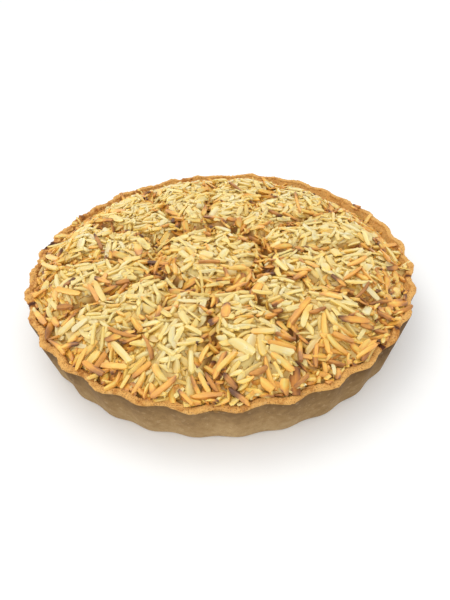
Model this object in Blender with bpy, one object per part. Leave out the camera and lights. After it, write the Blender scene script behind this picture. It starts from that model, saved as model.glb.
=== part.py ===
"""Apple tart, 28 cm across: a fluted pastry case full of baked apple under slivered almonds.

Twelve pieces of apple lie like petals round a thirteenth, and the almonds follow them, so the top is a
flower of low mounds with creases between them. Metres, +Z up, origin under the middle of the flat base.
"""

import math
import random

import bmesh
import bpy
from mathutils import Matrix, Vector, noise
from mathutils.geometry import delaunay_2d_cdt

MM = 0.001

# Pastry case
RIM_RADIUS = 140.0 * MM      # to the crests of the flutes, at the top
RIM_HEIGHT = 31.5 * MM       # at the front
BASE_INSET = 4.2 * MM        # how far the wall leans out from base to rim
FLUTES = 33
FLUTE_DEPTH = 2.8 * MM       # crest to trough, at the rim
FLUTE_FADE = 0.5             # share of that depth lost at the base
FLUTE_STEPS = 6              # columns of faces in one flute
WALL_AT_RIM = 4.2 * MM
WALL_AT_SHOULDER = 6.6 * MM  # the pastry slopes in below the rim
WALL_AT_FLOOR = 8.0 * MM
SHOULDER_DROP = 6.4 * MM     # below the rim
FLOOR = 4.5 * MM
FOOT_ROUND = 1.8 * MM        # rounding under the wall
LIP_RISE = 1.5 * MM          # height of the rounded top of the wall
LIP_SQUARENESS = 0.6         # below 1 the top is flatter than a half circle
LIP_STEPS = 4
RIM_LIFT = 2.2 * MM          # the back of the rim stands higher than the front
RIM_WANDER = 4.0 * MM        # rise and fall along the rim
RIM_WAVES = 5.5              # how often it rises, higher is more often
RIM_CRAG = 0.8 * MM          # crumbly roughness of the rim's top
CRAG_SCALE = 260.0           # lumps of the crumble to the metre
WALL_DRIFT = 0.7 * MM        # the wall wanders inward by up to this much
DRIFT_WAVES = 4.0
DENT_DEPTH = 1.8 * MM        # the rim is pressed in on one side
DENT_PLACE = math.radians(30.0)
DENT_WIDTH = math.radians(11.0)

# Apples under the almonds
PETALS = 12
FLOWER_CENTRE = (-7.0 * MM, -9.5 * MM)
HEART_RADIUS = 40.5 * MM     # the mound in the middle
HEART_HEIGHT = 11.0 * MM
PETAL_START = 42.5 * MM      # inner ends of the petals, from the flower's centre
PETAL_HEIGHT = 10.5 * MM
PETAL_NOSE = 17.0 * MM       # length over which the inner end rises
PETAL_TAIL = 33.0 * MM       # length over which the outer end falls to the rim
TAIL_CLEAR = 5.0 * MM        # low band between the petals and the pastry
DOME_POWER = 2.4
DOME_ROUND = 0.75
PETAL_VARIETY = 0.16         # share by which the petals differ in height
CREASE_LEVEL = 27.5 * MM     # height of the creases
EDGE_BLEND = 12.0 * MM
LUMP_HEIGHT = 1.5 * MM       # unevenness of the heap
LUMP_SCALE = 85.0
CORE_SINK = 0.9 * MM         # the core lies this far under the almonds' mean surface
CORE_GRID = 8.5 * MM         # spacing of the core's points
CORE_GRID_MIN = 0.62         # closest pair, as a share of the spacing

# Slivered almonds, largest first: how many, length, width, thickness
SLIVER_SIZES = (
    (42, 24.0 * MM, 5.2 * MM, 2.8 * MM),
    (64, 20.0 * MM, 4.6 * MM, 2.7 * MM),
    (68, 16.5 * MM, 4.2 * MM, 2.6 * MM),
)
SLIVER_SPACING = 13.4 * MM
SLIVER_TRIES = 4000
SLIVER_SPREAD = 0.12         # share by which lengths and widths differ
SLIVER_TILT = math.radians(9.0)
SLIVER_ROLL = math.radians(28.0)
SLIVER_RIDE = 1.1 * MM       # centre of a sliver above the core
SLIVER_STATIONS = ((-0.50, 0.50), (-0.04, 1.0), (0.50, 0.40))  # place and girth along it
SLIVER_FLATNESS = 0.35       # share of its thickness that a narrow end keeps
SLIVER_LEAN = 0.09           # how far the ends bend sideways, as a share of the length
SLIVER_FOOTING = 0.35        # where along its length a sliver rests, from the middle
RIM_CLEARANCE = 3.6 * MM     # slivers keep this far inside the pastry

# The lump of apple that shows beside the rim
LUMP_PLACE = (126.6 * MM, math.radians(-23.6))
LUMP_SIZE = (7.4 * MM, 9.6 * MM, 5.6 * MM)
LUMP_FACETS = (8, 5)

GAP = 0.3 * MM               # between the filling and the pastry
MERGE = 0.002 * MM
SEED = 2718

# Layers of the noise, one for each thing that it makes uneven
RIM_LAYER = 8.0
HEAP_LAYER = 5.0
WALL_LAYER = 9.0
CRAG_LAYER = 13.0
PETAL_LAYER = 21.0
PETAL_STRIDE = 1.7

COLUMNS = FLUTES * FLUTE_STEPS

PASTRY = ("pastry", (0.62, 0.36, 0.14), 0.8)
ALMOND = ("almond", (0.83, 0.62, 0.27), 0.45)


# ---------------------------------------------------------------- pastry case


def smooth_noise(x, y, layer):
    """Return a smooth value between about -0.5 and 0.5 for a place."""
    return 0.5 * noise.noise(Vector((x, y, layer)))


def ring_noise(theta, waves, layer):
    """Return smooth noise that closes on itself round the tart."""
    return smooth_noise(waves * math.cos(theta), waves * math.sin(theta), layer)


def rim_height(theta):
    """Return the height of the rim in a direction."""
    lift = RIM_LIFT * 0.5 * (1.0 + math.sin(theta))
    return RIM_HEIGHT + lift + RIM_WANDER * ring_noise(theta, RIM_WAVES, RIM_LAYER)


def dent(theta):
    """Return how far the rim is pressed in, in a direction."""
    turn = (theta - DENT_PLACE + math.pi) % (2.0 * math.pi) - math.pi
    return DENT_DEPTH * math.exp(-((turn / DENT_WIDTH) ** 2))


def outer_radius(theta, z):
    """Return the outside radius of the fluted wall at a height."""
    share = min(1.0, z / RIM_HEIGHT)
    depth = FLUTE_DEPTH * (1.0 - FLUTE_FADE * (1.0 - share))
    trough = 0.5 * (1.0 - math.cos(FLUTES * theta))
    drift = WALL_DRIFT * (ring_noise(theta, DRIFT_WAVES, WALL_LAYER) - 0.5)
    return RIM_RADIUS - BASE_INSET * (1.0 - share) - depth * trough + drift - dent(theta) * share


def shoulder_height(theta):
    """Return the height at which the pastry stops sloping in."""
    return rim_height(theta) - SHOULDER_DROP


def inner_radius(theta, z):
    """Return the inside radius of the wall, straight from floor to shoulder and from there to the lip."""
    middle = shoulder_height(theta)
    inside = outer_radius(theta, middle) - WALL_AT_SHOULDER
    if z > middle:
        far, wall = rim_height(theta) - LIP_RISE, WALL_AT_RIM
    else:
        far, wall = FLOOR, WALL_AT_FLOOR
    end = outer_radius(theta, far) - wall
    return inside + (end - inside) * (z - middle) / (far - middle)


def rounded(value):
    """Return a sine or cosine pushed outward, for a squarish curve."""
    return math.copysign(abs(value) ** LIP_SQUARENESS, value)


def case_profile(theta):
    """Return the radius and height of each ring, from the base round the rim to the floor."""
    rim = rim_height(theta)
    foot = outer_radius(theta, 0.0)
    points = [(foot - FOOT_ROUND, 0.0), (foot - 0.3 * FOOT_ROUND, 0.3 * FOOT_ROUND)]
    points.append((outer_radius(theta, FOOT_ROUND), FOOT_ROUND))
    lip_z = rim - LIP_RISE
    half = 0.5 * WALL_AT_RIM
    middle = outer_radius(theta, lip_z) - half
    for step in range(LIP_STEPS + 1):
        angle = math.pi * step / LIP_STEPS
        r = middle + half * rounded(math.cos(angle))
        z = lip_z + LIP_RISE * rounded(math.sin(angle))
        if 0 < step < LIP_STEPS:
            z += RIM_CRAG * ring_noise(theta, CRAG_SCALE * r, CRAG_LAYER + step)
        points.append((r, z))
    for z in (shoulder_height(theta), FLOOR):
        points.append((inner_radius(theta, z), z))
    return points


def ring_mesh(rings):
    """Return a closed bmesh from rings of points, capped flat at both ends."""
    bm = bmesh.new()
    rows = [[bm.verts.new(point) for point in ring] for ring in rings]
    count = len(rings[0])
    for row, after in zip(rows, rows[1:]):
        for i in range(count):
            j = (i + 1) % count
            bm.faces.new((row[i], row[j], after[j], after[i]))
    bm.faces.new(list(reversed(rows[0])))
    bm.faces.new(rows[-1])
    return bm


def directions():
    """Return the direction of each column of faces round the tart."""
    return [2.0 * math.pi * i / COLUMNS for i in range(COLUMNS)]


def at(theta, r, z):
    """Return the point at a direction, radius and height."""
    return Vector((r * math.cos(theta), r * math.sin(theta), z))


def make_case():
    """Build the fluted pastry case."""
    profiles = [(theta, case_profile(theta)) for theta in directions()]
    count = len(profiles[0][1])
    rings = [[at(theta, *profile[k]) for theta, profile in profiles] for k in range(count)]
    return finish_object("pastry_case", ring_mesh(rings), PASTRY)


# ---------------------------------------------------------------- filling


def dome(share):
    """Return the height of a flat-topped dome, 1 in its middle and 0 from its edge on."""
    if abs(share) >= 1.0:
        return 0.0
    return (1.0 - abs(share) ** DOME_POWER) ** DOME_ROUND


def rise(share):
    """Return a quarter dome that climbs from 0 to 1."""
    return dome(1.0 - min(1.0, max(0.0, share)))


def petal_factor(index):
    """Return how high one petal is against the rest."""
    return 1.0 + PETAL_VARIETY * 2.0 * smooth_noise(PETAL_STRIDE * index, 0.5, PETAL_LAYER)


def heap_height(x, y):
    """Return the mean height of the almonds over the apples at a place."""
    r, theta = math.hypot(x, y), math.atan2(y, x)
    dx, dy = x - FLOWER_CENTRE[0], y - FLOWER_CENTRE[1]
    rho, turn = math.hypot(dx, dy), math.atan2(dy, dx) % (2.0 * math.pi)
    sector = 2.0 * math.pi / PETALS
    index = int(turn / sector)
    across = (turn - (index + 0.5) * sector) / (0.5 * sector)
    to_wall = inner_radius(theta, shoulder_height(theta)) - r
    tail = rise((to_wall - TAIL_CLEAR) / PETAL_TAIL)
    petal = dome(across) * rise((rho - PETAL_START) / PETAL_NOSE) * tail
    heart = dome(rho / HEART_RADIUS)
    relief = max(PETAL_HEIGHT * petal * petal_factor(index), HEART_HEIGHT * heart)
    edge_level = shoulder_height(theta) + CORE_SINK
    blend = min(1.0, max(0.0, to_wall / EDGE_BLEND))
    floor = edge_level + (CREASE_LEVEL - edge_level) * blend
    lumps = LUMP_HEIGHT * blend * smooth_noise(LUMP_SCALE * x, LUMP_SCALE * y, HEAP_LAYER)
    return floor + relief + lumps


def core_height(x, y):
    """Return the height of the core that carries the slivers."""
    return heap_height(x, y) - CORE_SINK


def core_edge(theta):
    """Return the radius and height of the core's upper edge against the pastry."""
    z = shoulder_height(theta)
    return inner_radius(theta, z) - GAP, z


def crease_points():
    """Return points along the creases, so that the core's facets keep them crisp."""
    cx, cy = FLOWER_CENTRE
    ring = int(2.0 * math.pi * PETAL_START / CORE_GRID)
    points = []
    for i in range(ring):
        turn = 2.0 * math.pi * i / ring
        points.append((cx + PETAL_START * math.cos(turn), cy + PETAL_START * math.sin(turn)))
    for petal in range(PETALS):
        turn = 2.0 * math.pi * petal / PETALS
        rho = PETAL_START + CORE_GRID
        while rho < RIM_RADIUS:
            points.append((cx + rho * math.cos(turn), cy + rho * math.sin(turn)))
            rho += CORE_GRID
    return points


def grid_points():
    """Return the points of a triangular grid over the tart."""
    row_step = CORE_GRID * math.sqrt(0.75)
    rows = int(RIM_RADIUS / row_step) + 1
    points = []
    for row in range(-rows, rows + 1):
        shift = 0.5 * CORE_GRID * (row % 2)
        for column in range(-rows - 1, rows + 2):
            points.append((column * CORE_GRID + shift, row * row_step))
    return points


def inner_points():
    """Return the core's points inside its edge, none closer than the smallest spacing."""
    near = CORE_GRID * CORE_GRID_MIN
    kept = []
    for x, y in crease_points() + grid_points():
        edge, _ = core_edge(math.atan2(y, x))
        if math.hypot(x, y) > edge - near:
            continue
        if all(math.hypot(x - a, y - b) > near for a, b in kept):
            kept.append((x, y))
    return kept


def make_core():
    """Build the filling as one solid up to the surface that carries the slivers."""
    bm = bmesh.new()
    thetas = directions()
    bottom_z = FLOOR + GAP
    lower = [bm.verts.new(at(t, inner_radius(t, bottom_z) - GAP, bottom_z)) for t in thetas]
    upper = [bm.verts.new(at(t, *core_edge(t))) for t in thetas]
    for i in range(COLUMNS):
        j = (i + 1) % COLUMNS
        bm.faces.new((lower[i], lower[j], upper[j], upper[i]))
    bm.faces.new(list(reversed(lower)))
    inner = inner_points()
    top = list(upper)
    flat = [vert.co.to_2d() for vert in upper]
    for x, y in inner:
        top.append(bm.verts.new((x, y, core_height(x, y))))
        flat.append(Vector((x, y)))
    border = [(i, (i + 1) % COLUMNS) for i in range(COLUMNS)]
    triangles = delaunay_2d_cdt(flat, border, [], 1, 1e-7)[2]
    for a, b, c in triangles:
        bm.faces.new((top[a], top[b], top[c]))
    return bm


# ---------------------------------------------------------------- pieces on the core


def sliver_mesh(length, width, thickness, lean):
    """Return one sliver as a four-sided spindle with blunt ends, lying along X."""
    bm = bmesh.new()
    rings = []
    for share, girth in SLIVER_STATIONS:
        side = lean * length * (2.0 * share) ** 2
        w, t = 0.5 * width * girth, 0.5 * thickness * (SLIVER_FLATNESS + (1.0 - SLIVER_FLATNESS) * girth)
        corners = ((-w, -t), (w, -t), (w, t), (-w, t))
        rings.append([bm.verts.new((share * length, y + side, z)) for y, z in corners])
    for ring, after in zip(rings, rings[1:]):
        for i in range(4):
            j = (i + 1) % 4
            bm.faces.new((ring[i], ring[j], after[j], after[i]))
    bm.faces.new(list(reversed(rings[0])))
    bm.faces.new(rings[-1])
    return bm


def sliver_fits(x, y, length, yaw):
    """Return whether both ends of a sliver stay inside the pastry."""
    for end in (-0.5, 0.5):
        a = x + end * length * math.cos(yaw)
        b = y + end * length * math.sin(yaw)
        theta = math.atan2(b, a)
        if math.hypot(a, b) > inner_radius(theta, shoulder_height(theta)) - RIM_CLEARANCE:
            return False
    return True


def scatter_slivers(rng):
    """Return the place, direction and size of each sliver, largest first and evenly spread."""
    placed = []
    for count, length, width, thickness in SLIVER_SIZES:
        left, tries = count, SLIVER_TRIES
        while left and tries:
            tries -= 1
            r = RIM_RADIUS * math.sqrt(rng.random())
            turn, yaw = 2.0 * math.pi * rng.random(), math.pi * rng.random()
            x, y = r * math.cos(turn), r * math.sin(turn)
            own = length * (1.0 + SLIVER_SPREAD * rng.uniform(-1.0, 1.0))
            if not sliver_fits(x, y, own, yaw):
                continue
            if any(math.hypot(x - a, y - b) < SLIVER_SPACING for a, b, *_ in placed):
                continue
            girth = width * (1.0 + SLIVER_SPREAD * rng.uniform(-1.0, 1.0))
            placed.append((x, y, yaw, own, girth, thickness))
            left -= 1
    return placed


def place_sliver(bm, x, y, yaw, length, rng):
    """Lay a sliver on the core, along the slope under its ends and a little out of true."""
    reach = SLIVER_FOOTING * length
    cos, sin = math.cos(yaw), math.sin(yaw)
    ahead = core_height(x + reach * cos, y + reach * sin)
    behind = core_height(x - reach * cos, y - reach * sin)
    here = core_height(x, y)
    pitch = math.atan2(ahead - behind, 2.0 * reach) + SLIVER_TILT * rng.uniform(-1.0, 1.0)
    roll = SLIVER_ROLL * rng.uniform(-1.0, 1.0)
    z = max(here, 0.5 * (ahead + behind)) + SLIVER_RIDE
    turn = Matrix.Rotation(yaw, 4, "Z") @ Matrix.Rotation(-pitch, 4, "Y") @ Matrix.Rotation(roll, 4, "X")
    bmesh.ops.transform(bm, matrix=Matrix.Translation((x, y, z)) @ turn, verts=bm.verts)


def make_slivers(rng):
    """Return a collection with one object for each sliver."""
    pile = bpy.data.collections.new("slivers")
    bpy.context.scene.collection.children.link(pile)
    for x, y, yaw, length, width, thickness in scatter_slivers(rng):
        bm = sliver_mesh(length, width, thickness, SLIVER_LEAN * rng.uniform(-1.0, 1.0))
        place_sliver(bm, x, y, yaw, length, rng)
        add_to_pile(pile, bm)
    return pile


def lump_mesh():
    """Return the lump of apple that shows beside the rim, half sunk in the core."""
    bm = bmesh.new()
    bmesh.ops.create_uvsphere(bm, u_segments=LUMP_FACETS[0], v_segments=LUMP_FACETS[1], radius=0.5)
    r, theta = LUMP_PLACE
    x, y = r * math.cos(theta), r * math.sin(theta)
    place = Matrix.Translation((x, y, core_height(x, y))) @ Matrix.Rotation(theta, 4, "Z")
    bmesh.ops.transform(bm, matrix=place @ Matrix.Diagonal((*LUMP_SIZE, 1.0)), verts=bm.verts)
    return bm


def add_to_pile(pile, bm):
    """Put a bmesh into a collection as an object of its own."""
    mesh = bpy.data.meshes.new("piece")
    bm.to_mesh(mesh)
    bm.free()
    pile.objects.link(bpy.data.objects.new("piece", mesh))


def remove_pile(pile):
    """Remove a collection and all its objects."""
    for piece in list(pile.objects):
        bpy.data.objects.remove(piece)
    bpy.data.collections.remove(pile)


def largest_body(bm):
    """Drop every loose scrap, keeping the body with the most faces."""
    left, bodies = set(bm.faces), []
    while left:
        front = [left.pop()]
        body = set(front)
        while front:
            face = front.pop()
            for edge in face.edges:
                for other in edge.link_faces:
                    if other in left:
                        left.remove(other)
                        body.add(other)
                        front.append(other)
        bodies.append(body)
    bodies.sort(key=len, reverse=True)
    for body in bodies[1:]:
        bmesh.ops.delete(bm, geom=list(body), context="FACES")
    loose = [vert for vert in bm.verts if not vert.link_faces]
    bmesh.ops.delete(bm, geom=loose, context="VERTS")


def make_filling():
    """Build the apple filling with the slivers that show fused to its top."""
    filling = finish_object("filling_and_almonds", make_core(), ALMOND)
    pile = make_slivers(random.Random(SEED))
    add_to_pile(pile, lump_mesh())
    union = filling.modifiers.new("union", "BOOLEAN")
    union.operation = "UNION"
    union.operand_type = "COLLECTION"
    union.solver = "EXACT"
    union.collection = pile
    bpy.context.view_layer.update()
    depsgraph = bpy.context.evaluated_depsgraph_get()
    fused = bpy.data.meshes.new_from_object(filling.evaluated_get(depsgraph))
    filling.modifiers.remove(union)
    remove_pile(pile)
    bm = bmesh.new()
    bm.from_mesh(fused)
    bpy.data.meshes.remove(fused)
    bmesh.ops.remove_doubles(bm, verts=bm.verts, dist=MERGE)
    bmesh.ops.triangulate(bm, faces=bm.faces)
    largest_body(bm)
    bm.to_mesh(filling.data)
    bm.free()
    return filling


# ---------------------------------------------------------------- objects


def make_material(name, colour, roughness):
    """Return a plain Principled material."""
    material = bpy.data.materials.new(name)
    material.use_nodes = True
    shader = material.node_tree.nodes["Principled BSDF"]
    shader.inputs["Base Color"].default_value = (*colour, 1.0)
    shader.inputs["Roughness"].default_value = roughness
    shader.inputs["Metallic"].default_value = 0.0
    return material


def finish_object(name, bm, finish):
    """Turn a bmesh into a named object with its material and outward faces."""
    bmesh.ops.recalc_face_normals(bm, faces=bm.faces)
    mesh = bpy.data.meshes.new(name)
    bm.to_mesh(mesh)
    bm.free()
    mesh.materials.append(make_material(*finish))
    piece = bpy.data.objects.new(name, mesh)
    bpy.context.scene.collection.objects.link(piece)
    return piece


def main():
    """Clear the scene and build the tart."""
    for piece in list(bpy.data.objects):
        bpy.data.objects.remove(piece)
    make_case()
    make_filling()


main()
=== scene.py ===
"""The looks of an apple tart: fluted shortcrust, baked filling and slivered almonds laid one by one.

Metres, +Z up, origin under the middle of the flat base, as in the model that this file dresses. Twelve
pieces of apple lie like petals round a thirteenth under the almonds, so the top is a flower of low mounds.
A field whose name ends in line holds the two values between which something fades in.
"""

from __future__ import annotations

import logging
import math
from dataclasses import dataclass, field
from enum import Enum

import bpy
import numpy as np
from mathutils import Matrix, Vector, noise

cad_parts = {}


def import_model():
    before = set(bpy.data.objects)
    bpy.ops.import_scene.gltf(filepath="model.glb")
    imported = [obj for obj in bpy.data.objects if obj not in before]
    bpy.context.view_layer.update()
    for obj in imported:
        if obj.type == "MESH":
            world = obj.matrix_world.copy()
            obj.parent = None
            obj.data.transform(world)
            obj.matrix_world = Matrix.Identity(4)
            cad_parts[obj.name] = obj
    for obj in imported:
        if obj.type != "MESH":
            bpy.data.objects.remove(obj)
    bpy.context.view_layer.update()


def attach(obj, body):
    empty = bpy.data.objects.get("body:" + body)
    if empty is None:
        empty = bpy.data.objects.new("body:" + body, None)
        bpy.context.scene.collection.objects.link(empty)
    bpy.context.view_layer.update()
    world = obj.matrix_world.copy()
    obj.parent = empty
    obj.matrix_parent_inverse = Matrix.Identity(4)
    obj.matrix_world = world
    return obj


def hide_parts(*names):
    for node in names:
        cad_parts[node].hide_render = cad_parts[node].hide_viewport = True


Array = np.ndarray
Piece = bpy.types.Object
Socket = bpy.types.NodeSocket
Pair = tuple[float, float]
Triple = tuple[float, float, float]
Colour = tuple[int, int, int]
Stops = tuple[tuple[float, Colour], ...]

LOG = logging.getLogger("apple_tart")
MM = 0.001
TURN = 2.0 * math.pi
FRONT = -0.5 * math.pi
SCREEN_WHITE = 255.0
SCREEN_BLACK_END = 0.04045
SCREEN_BLACK_SLOPE = 12.92
SCREEN_OFFSET = 0.055
SCREEN_GAMMA = 2.4
BODY = "root"
CASE_NODE = "pastry_case"
HEAP_NODE = "filling_and_almonds"


# ---------------------------------------------------------------- helpers


def smooth_noise(x: Array, y: Array, z: Array | float) -> Array:
    """Return smooth noise for many places at once.

    Args:
        x: First coordinates, in lumps.
        y: Second coordinates.
        z: Third coordinates, or one layer for all.

    Returns:
        Values between about -0.5 and 0.5, in the shape of the coordinates.
    """
    spread = np.broadcast_arrays(x, y, z)
    values = [noise.noise(place) for place in zip(*(part.ravel() for part in spread))]
    return 0.5 * np.array(values).reshape(spread[0].shape)


def ring_noise(theta: Array, waves: float, layer: float) -> Array:
    """Return smooth noise that closes on itself round the tart.

    Args:
        theta: Directions, in radians.
        waves: How often the noise rises and falls.
        layer: Which noise.

    Returns:
        Values between about -0.5 and 0.5.
    """
    return smooth_noise(waves * np.cos(theta), waves * np.sin(theta), layer)


def soft_step(value: Array, low: float, high: float) -> Array:
    """Return 0 below low, 1 above high and a smooth climb between.

    Args:
        value: What is compared.
        low: Where the climb starts.
        high: Where it ends.

    Returns:
        Values from 0 to 1.
    """
    share = np.clip((value - low) / (high - low), 0.0, 1.0)
    return share * share * (3.0 - 2.0 * share)


def nearness(theta: Array, place: float, width: float) -> Array:
    """Return how near directions are to one of them.

    Args:
        theta: Directions, in radians.
        place: The direction that they are compared with.
        width: How far off nearness has faded to about a third.

    Returns:
        Values from 0 to 1.
    """
    turn = np.angle(np.exp(1j * (theta - place)))
    return np.exp(-((turn / width) ** 2))


def linear(*colour: float) -> tuple[float, ...]:
    """Return a colour in the linear values that shaders take.

    Args:
        colour: Red, green and blue as they look on a screen, 0 to 255.

    Returns:
        The linear colour with alpha 1.
    """
    parts = []
    for value in colour:
        share = value / SCREEN_WHITE
        bright = ((share + SCREEN_OFFSET) / (1.0 + SCREEN_OFFSET)) ** SCREEN_GAMMA
        parts.append(share / SCREEN_BLACK_SLOPE if share < SCREEN_BLACK_END else bright)
    return (*parts, 1.0)


def make_mesh(name: str, verts: Array, faces: list, smooth: bool = True) -> Piece:
    """Make a mesh object and put it in the scene.

    Args:
        name: The piece's name.
        verts: Its points, one row each.
        faces: Its faces, as lists of point numbers.
        smooth: Whether it is shaded smooth.

    Returns:
        The new object.
    """
    mesh = bpy.data.meshes.new(name)
    mesh.from_pydata(verts.tolist(), [], faces)
    mesh.update()
    if smooth:
        mesh.shade_smooth()
    piece = bpy.data.objects.new(name, mesh)
    bpy.context.scene.collection.objects.link(piece)
    return piece


def set_value(piece: Piece, name: str, values: Array) -> None:
    """Give every point of a mesh a number, for its material to read.

    Args:
        piece: The mesh object.
        name: The attribute's name.
        values: One number for each point.
    """
    attribute = piece.data.attributes.new(name, "FLOAT", "POINT")
    attribute.data.foreach_set("value", np.asarray(values, dtype=np.float32))


def set_vector(piece: Piece, name: str, values: Array) -> None:
    """Give every point of a mesh a vector, for its material to read.

    Args:
        piece: The mesh object.
        name: The attribute's name.
        values: One row of three numbers for each point.
    """
    attribute = piece.data.attributes.new(name, "FLOAT_VECTOR", "POINT")
    attribute.data.foreach_set("vector", np.asarray(values, dtype=np.float32).ravel())


def ring_faces(rings: int, columns: int) -> list[tuple[int, int, int, int]]:
    """Return the faces between rings of points that close on themselves.

    Args:
        rings: How many rings there are.
        columns: How many points each has.

    Returns:
        Faces that look outward where the rings run counter-clockwise and upward.
    """
    faces = []
    for k in range(rings - 1):
        for i in range(columns):
            j = (i + 1) % columns
            faces.append((k * columns + i, k * columns + j, (k + 1) * columns + j, (k + 1) * columns + i))
    return faces


def cap_faces(ring: int, columns: int, pole: int, upward: bool) -> list[tuple[int, int, int]]:
    """Return the fan of faces that closes a ring with one point.

    Args:
        ring: The number of the ring.
        columns: How many points a ring has.
        pole: The number of the closing point.
        upward: Whether the fan looks the way that the rings climb.

    Returns:
        The faces of the fan.
    """
    first = ring * columns
    faces = []
    for i in range(columns):
        j = (i + 1) % columns
        faces.append((first + i, first + j, pole) if upward else (first + j, first + i, pole))
    return faces


# ---------------------------------------------------------------- forms


@dataclass(frozen=True)
class Lumps:
    """Smooth unevenness over the tart: its height, its lumps to the metre, and which noise it is."""

    height: float
    scale: float
    layer: float

    def at(self, x: Array, y: Array) -> Array:
        """Return how far the lumps stand up at places."""
        return self.height * smooth_noise(self.scale * x, self.scale * y, self.layer)


@dataclass(frozen=True)
class CaseForm:
    """The form of the fluted pastry case, with the same sizes as the solid."""

    rim_radius: float = 140.0 * MM
    rim_height: float = 31.5 * MM
    base_inset: float = 4.2 * MM
    flutes: int = 33
    flute_depth: float = 2.8 * MM
    flute_fade: float = 0.5
    wall_at_rim: float = 4.2 * MM
    wall_at_shoulder: float = 6.6 * MM
    wall_at_floor: float = 8.0 * MM
    shoulder_drop: float = 6.4 * MM
    floor: float = 4.5 * MM
    foot_round: float = 1.8 * MM
    lip_rise: float = 1.5 * MM
    lip_squareness: float = 0.6
    rim_lift: float = 2.2 * MM
    rim_wander: float = 4.0 * MM
    rim_waves: float = 5.5
    rim_layer: float = 8.0
    wall_drift: float = 0.7 * MM
    drift_waves: float = 4.0
    wall_layer: float = 9.0
    dent_depth: float = 1.8 * MM
    dent_place: float = math.radians(30.0)
    dent_width: float = math.radians(11.0)

    def rim(self, theta: Array) -> Array:
        """Return the height of the rim in each direction."""
        lift = self.rim_lift * 0.5 * (1.0 + np.sin(theta))
        return self.rim_height + lift + self.rim_wander * ring_noise(theta, self.rim_waves, self.rim_layer)

    def dent(self, theta: Array) -> Array:
        """Return how far the rim is pressed in, in each direction."""
        turn = (theta - self.dent_place + math.pi) % TURN - math.pi
        return self.dent_depth * np.exp(-((turn / self.dent_width) ** 2))

    def outer(self, theta: Array, z: Array) -> Array:
        """Return the outside radius of the wall.

        Args:
            theta: Directions, in radians.
            z: Heights.

        Returns:
            The radius for each pair.
        """
        share = np.minimum(1.0, z / self.rim_height)
        depth = self.flute_depth * (1.0 - self.flute_fade * (1.0 - share))
        trough = 0.5 * (1.0 - np.cos(self.flutes * theta))
        drift = self.wall_drift * (ring_noise(theta, self.drift_waves, self.wall_layer) - 0.5)
        lean = self.base_inset * (1.0 - share) + self.dent(theta) * share
        return self.rim_radius - lean - depth * trough + drift

    def shoulder(self, theta: Array) -> Array:
        """Return the height at which the pastry stops sloping in."""
        return self.rim(theta) - self.shoulder_drop

    def inner(self, theta: Array, z: Array) -> Array:
        """Return the inside radius of the wall, straight from floor to shoulder and from there to the lip.

        Args:
            theta: Directions, in radians.
            z: Heights.

        Returns:
            The radius for each pair.
        """
        middle = self.shoulder(theta)
        inside = self.outer(theta, middle) - self.wall_at_shoulder
        lip = self.rim(theta) - self.lip_rise
        floor = np.full_like(lip, self.floor)
        above = z > middle
        far = np.where(above, lip, floor)
        end_above = self.outer(theta, lip) - self.wall_at_rim
        end = np.where(above, end_above, self.outer(theta, floor) - self.wall_at_floor)
        return inside + (end - inside) * (z - middle) / (far - middle)


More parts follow.
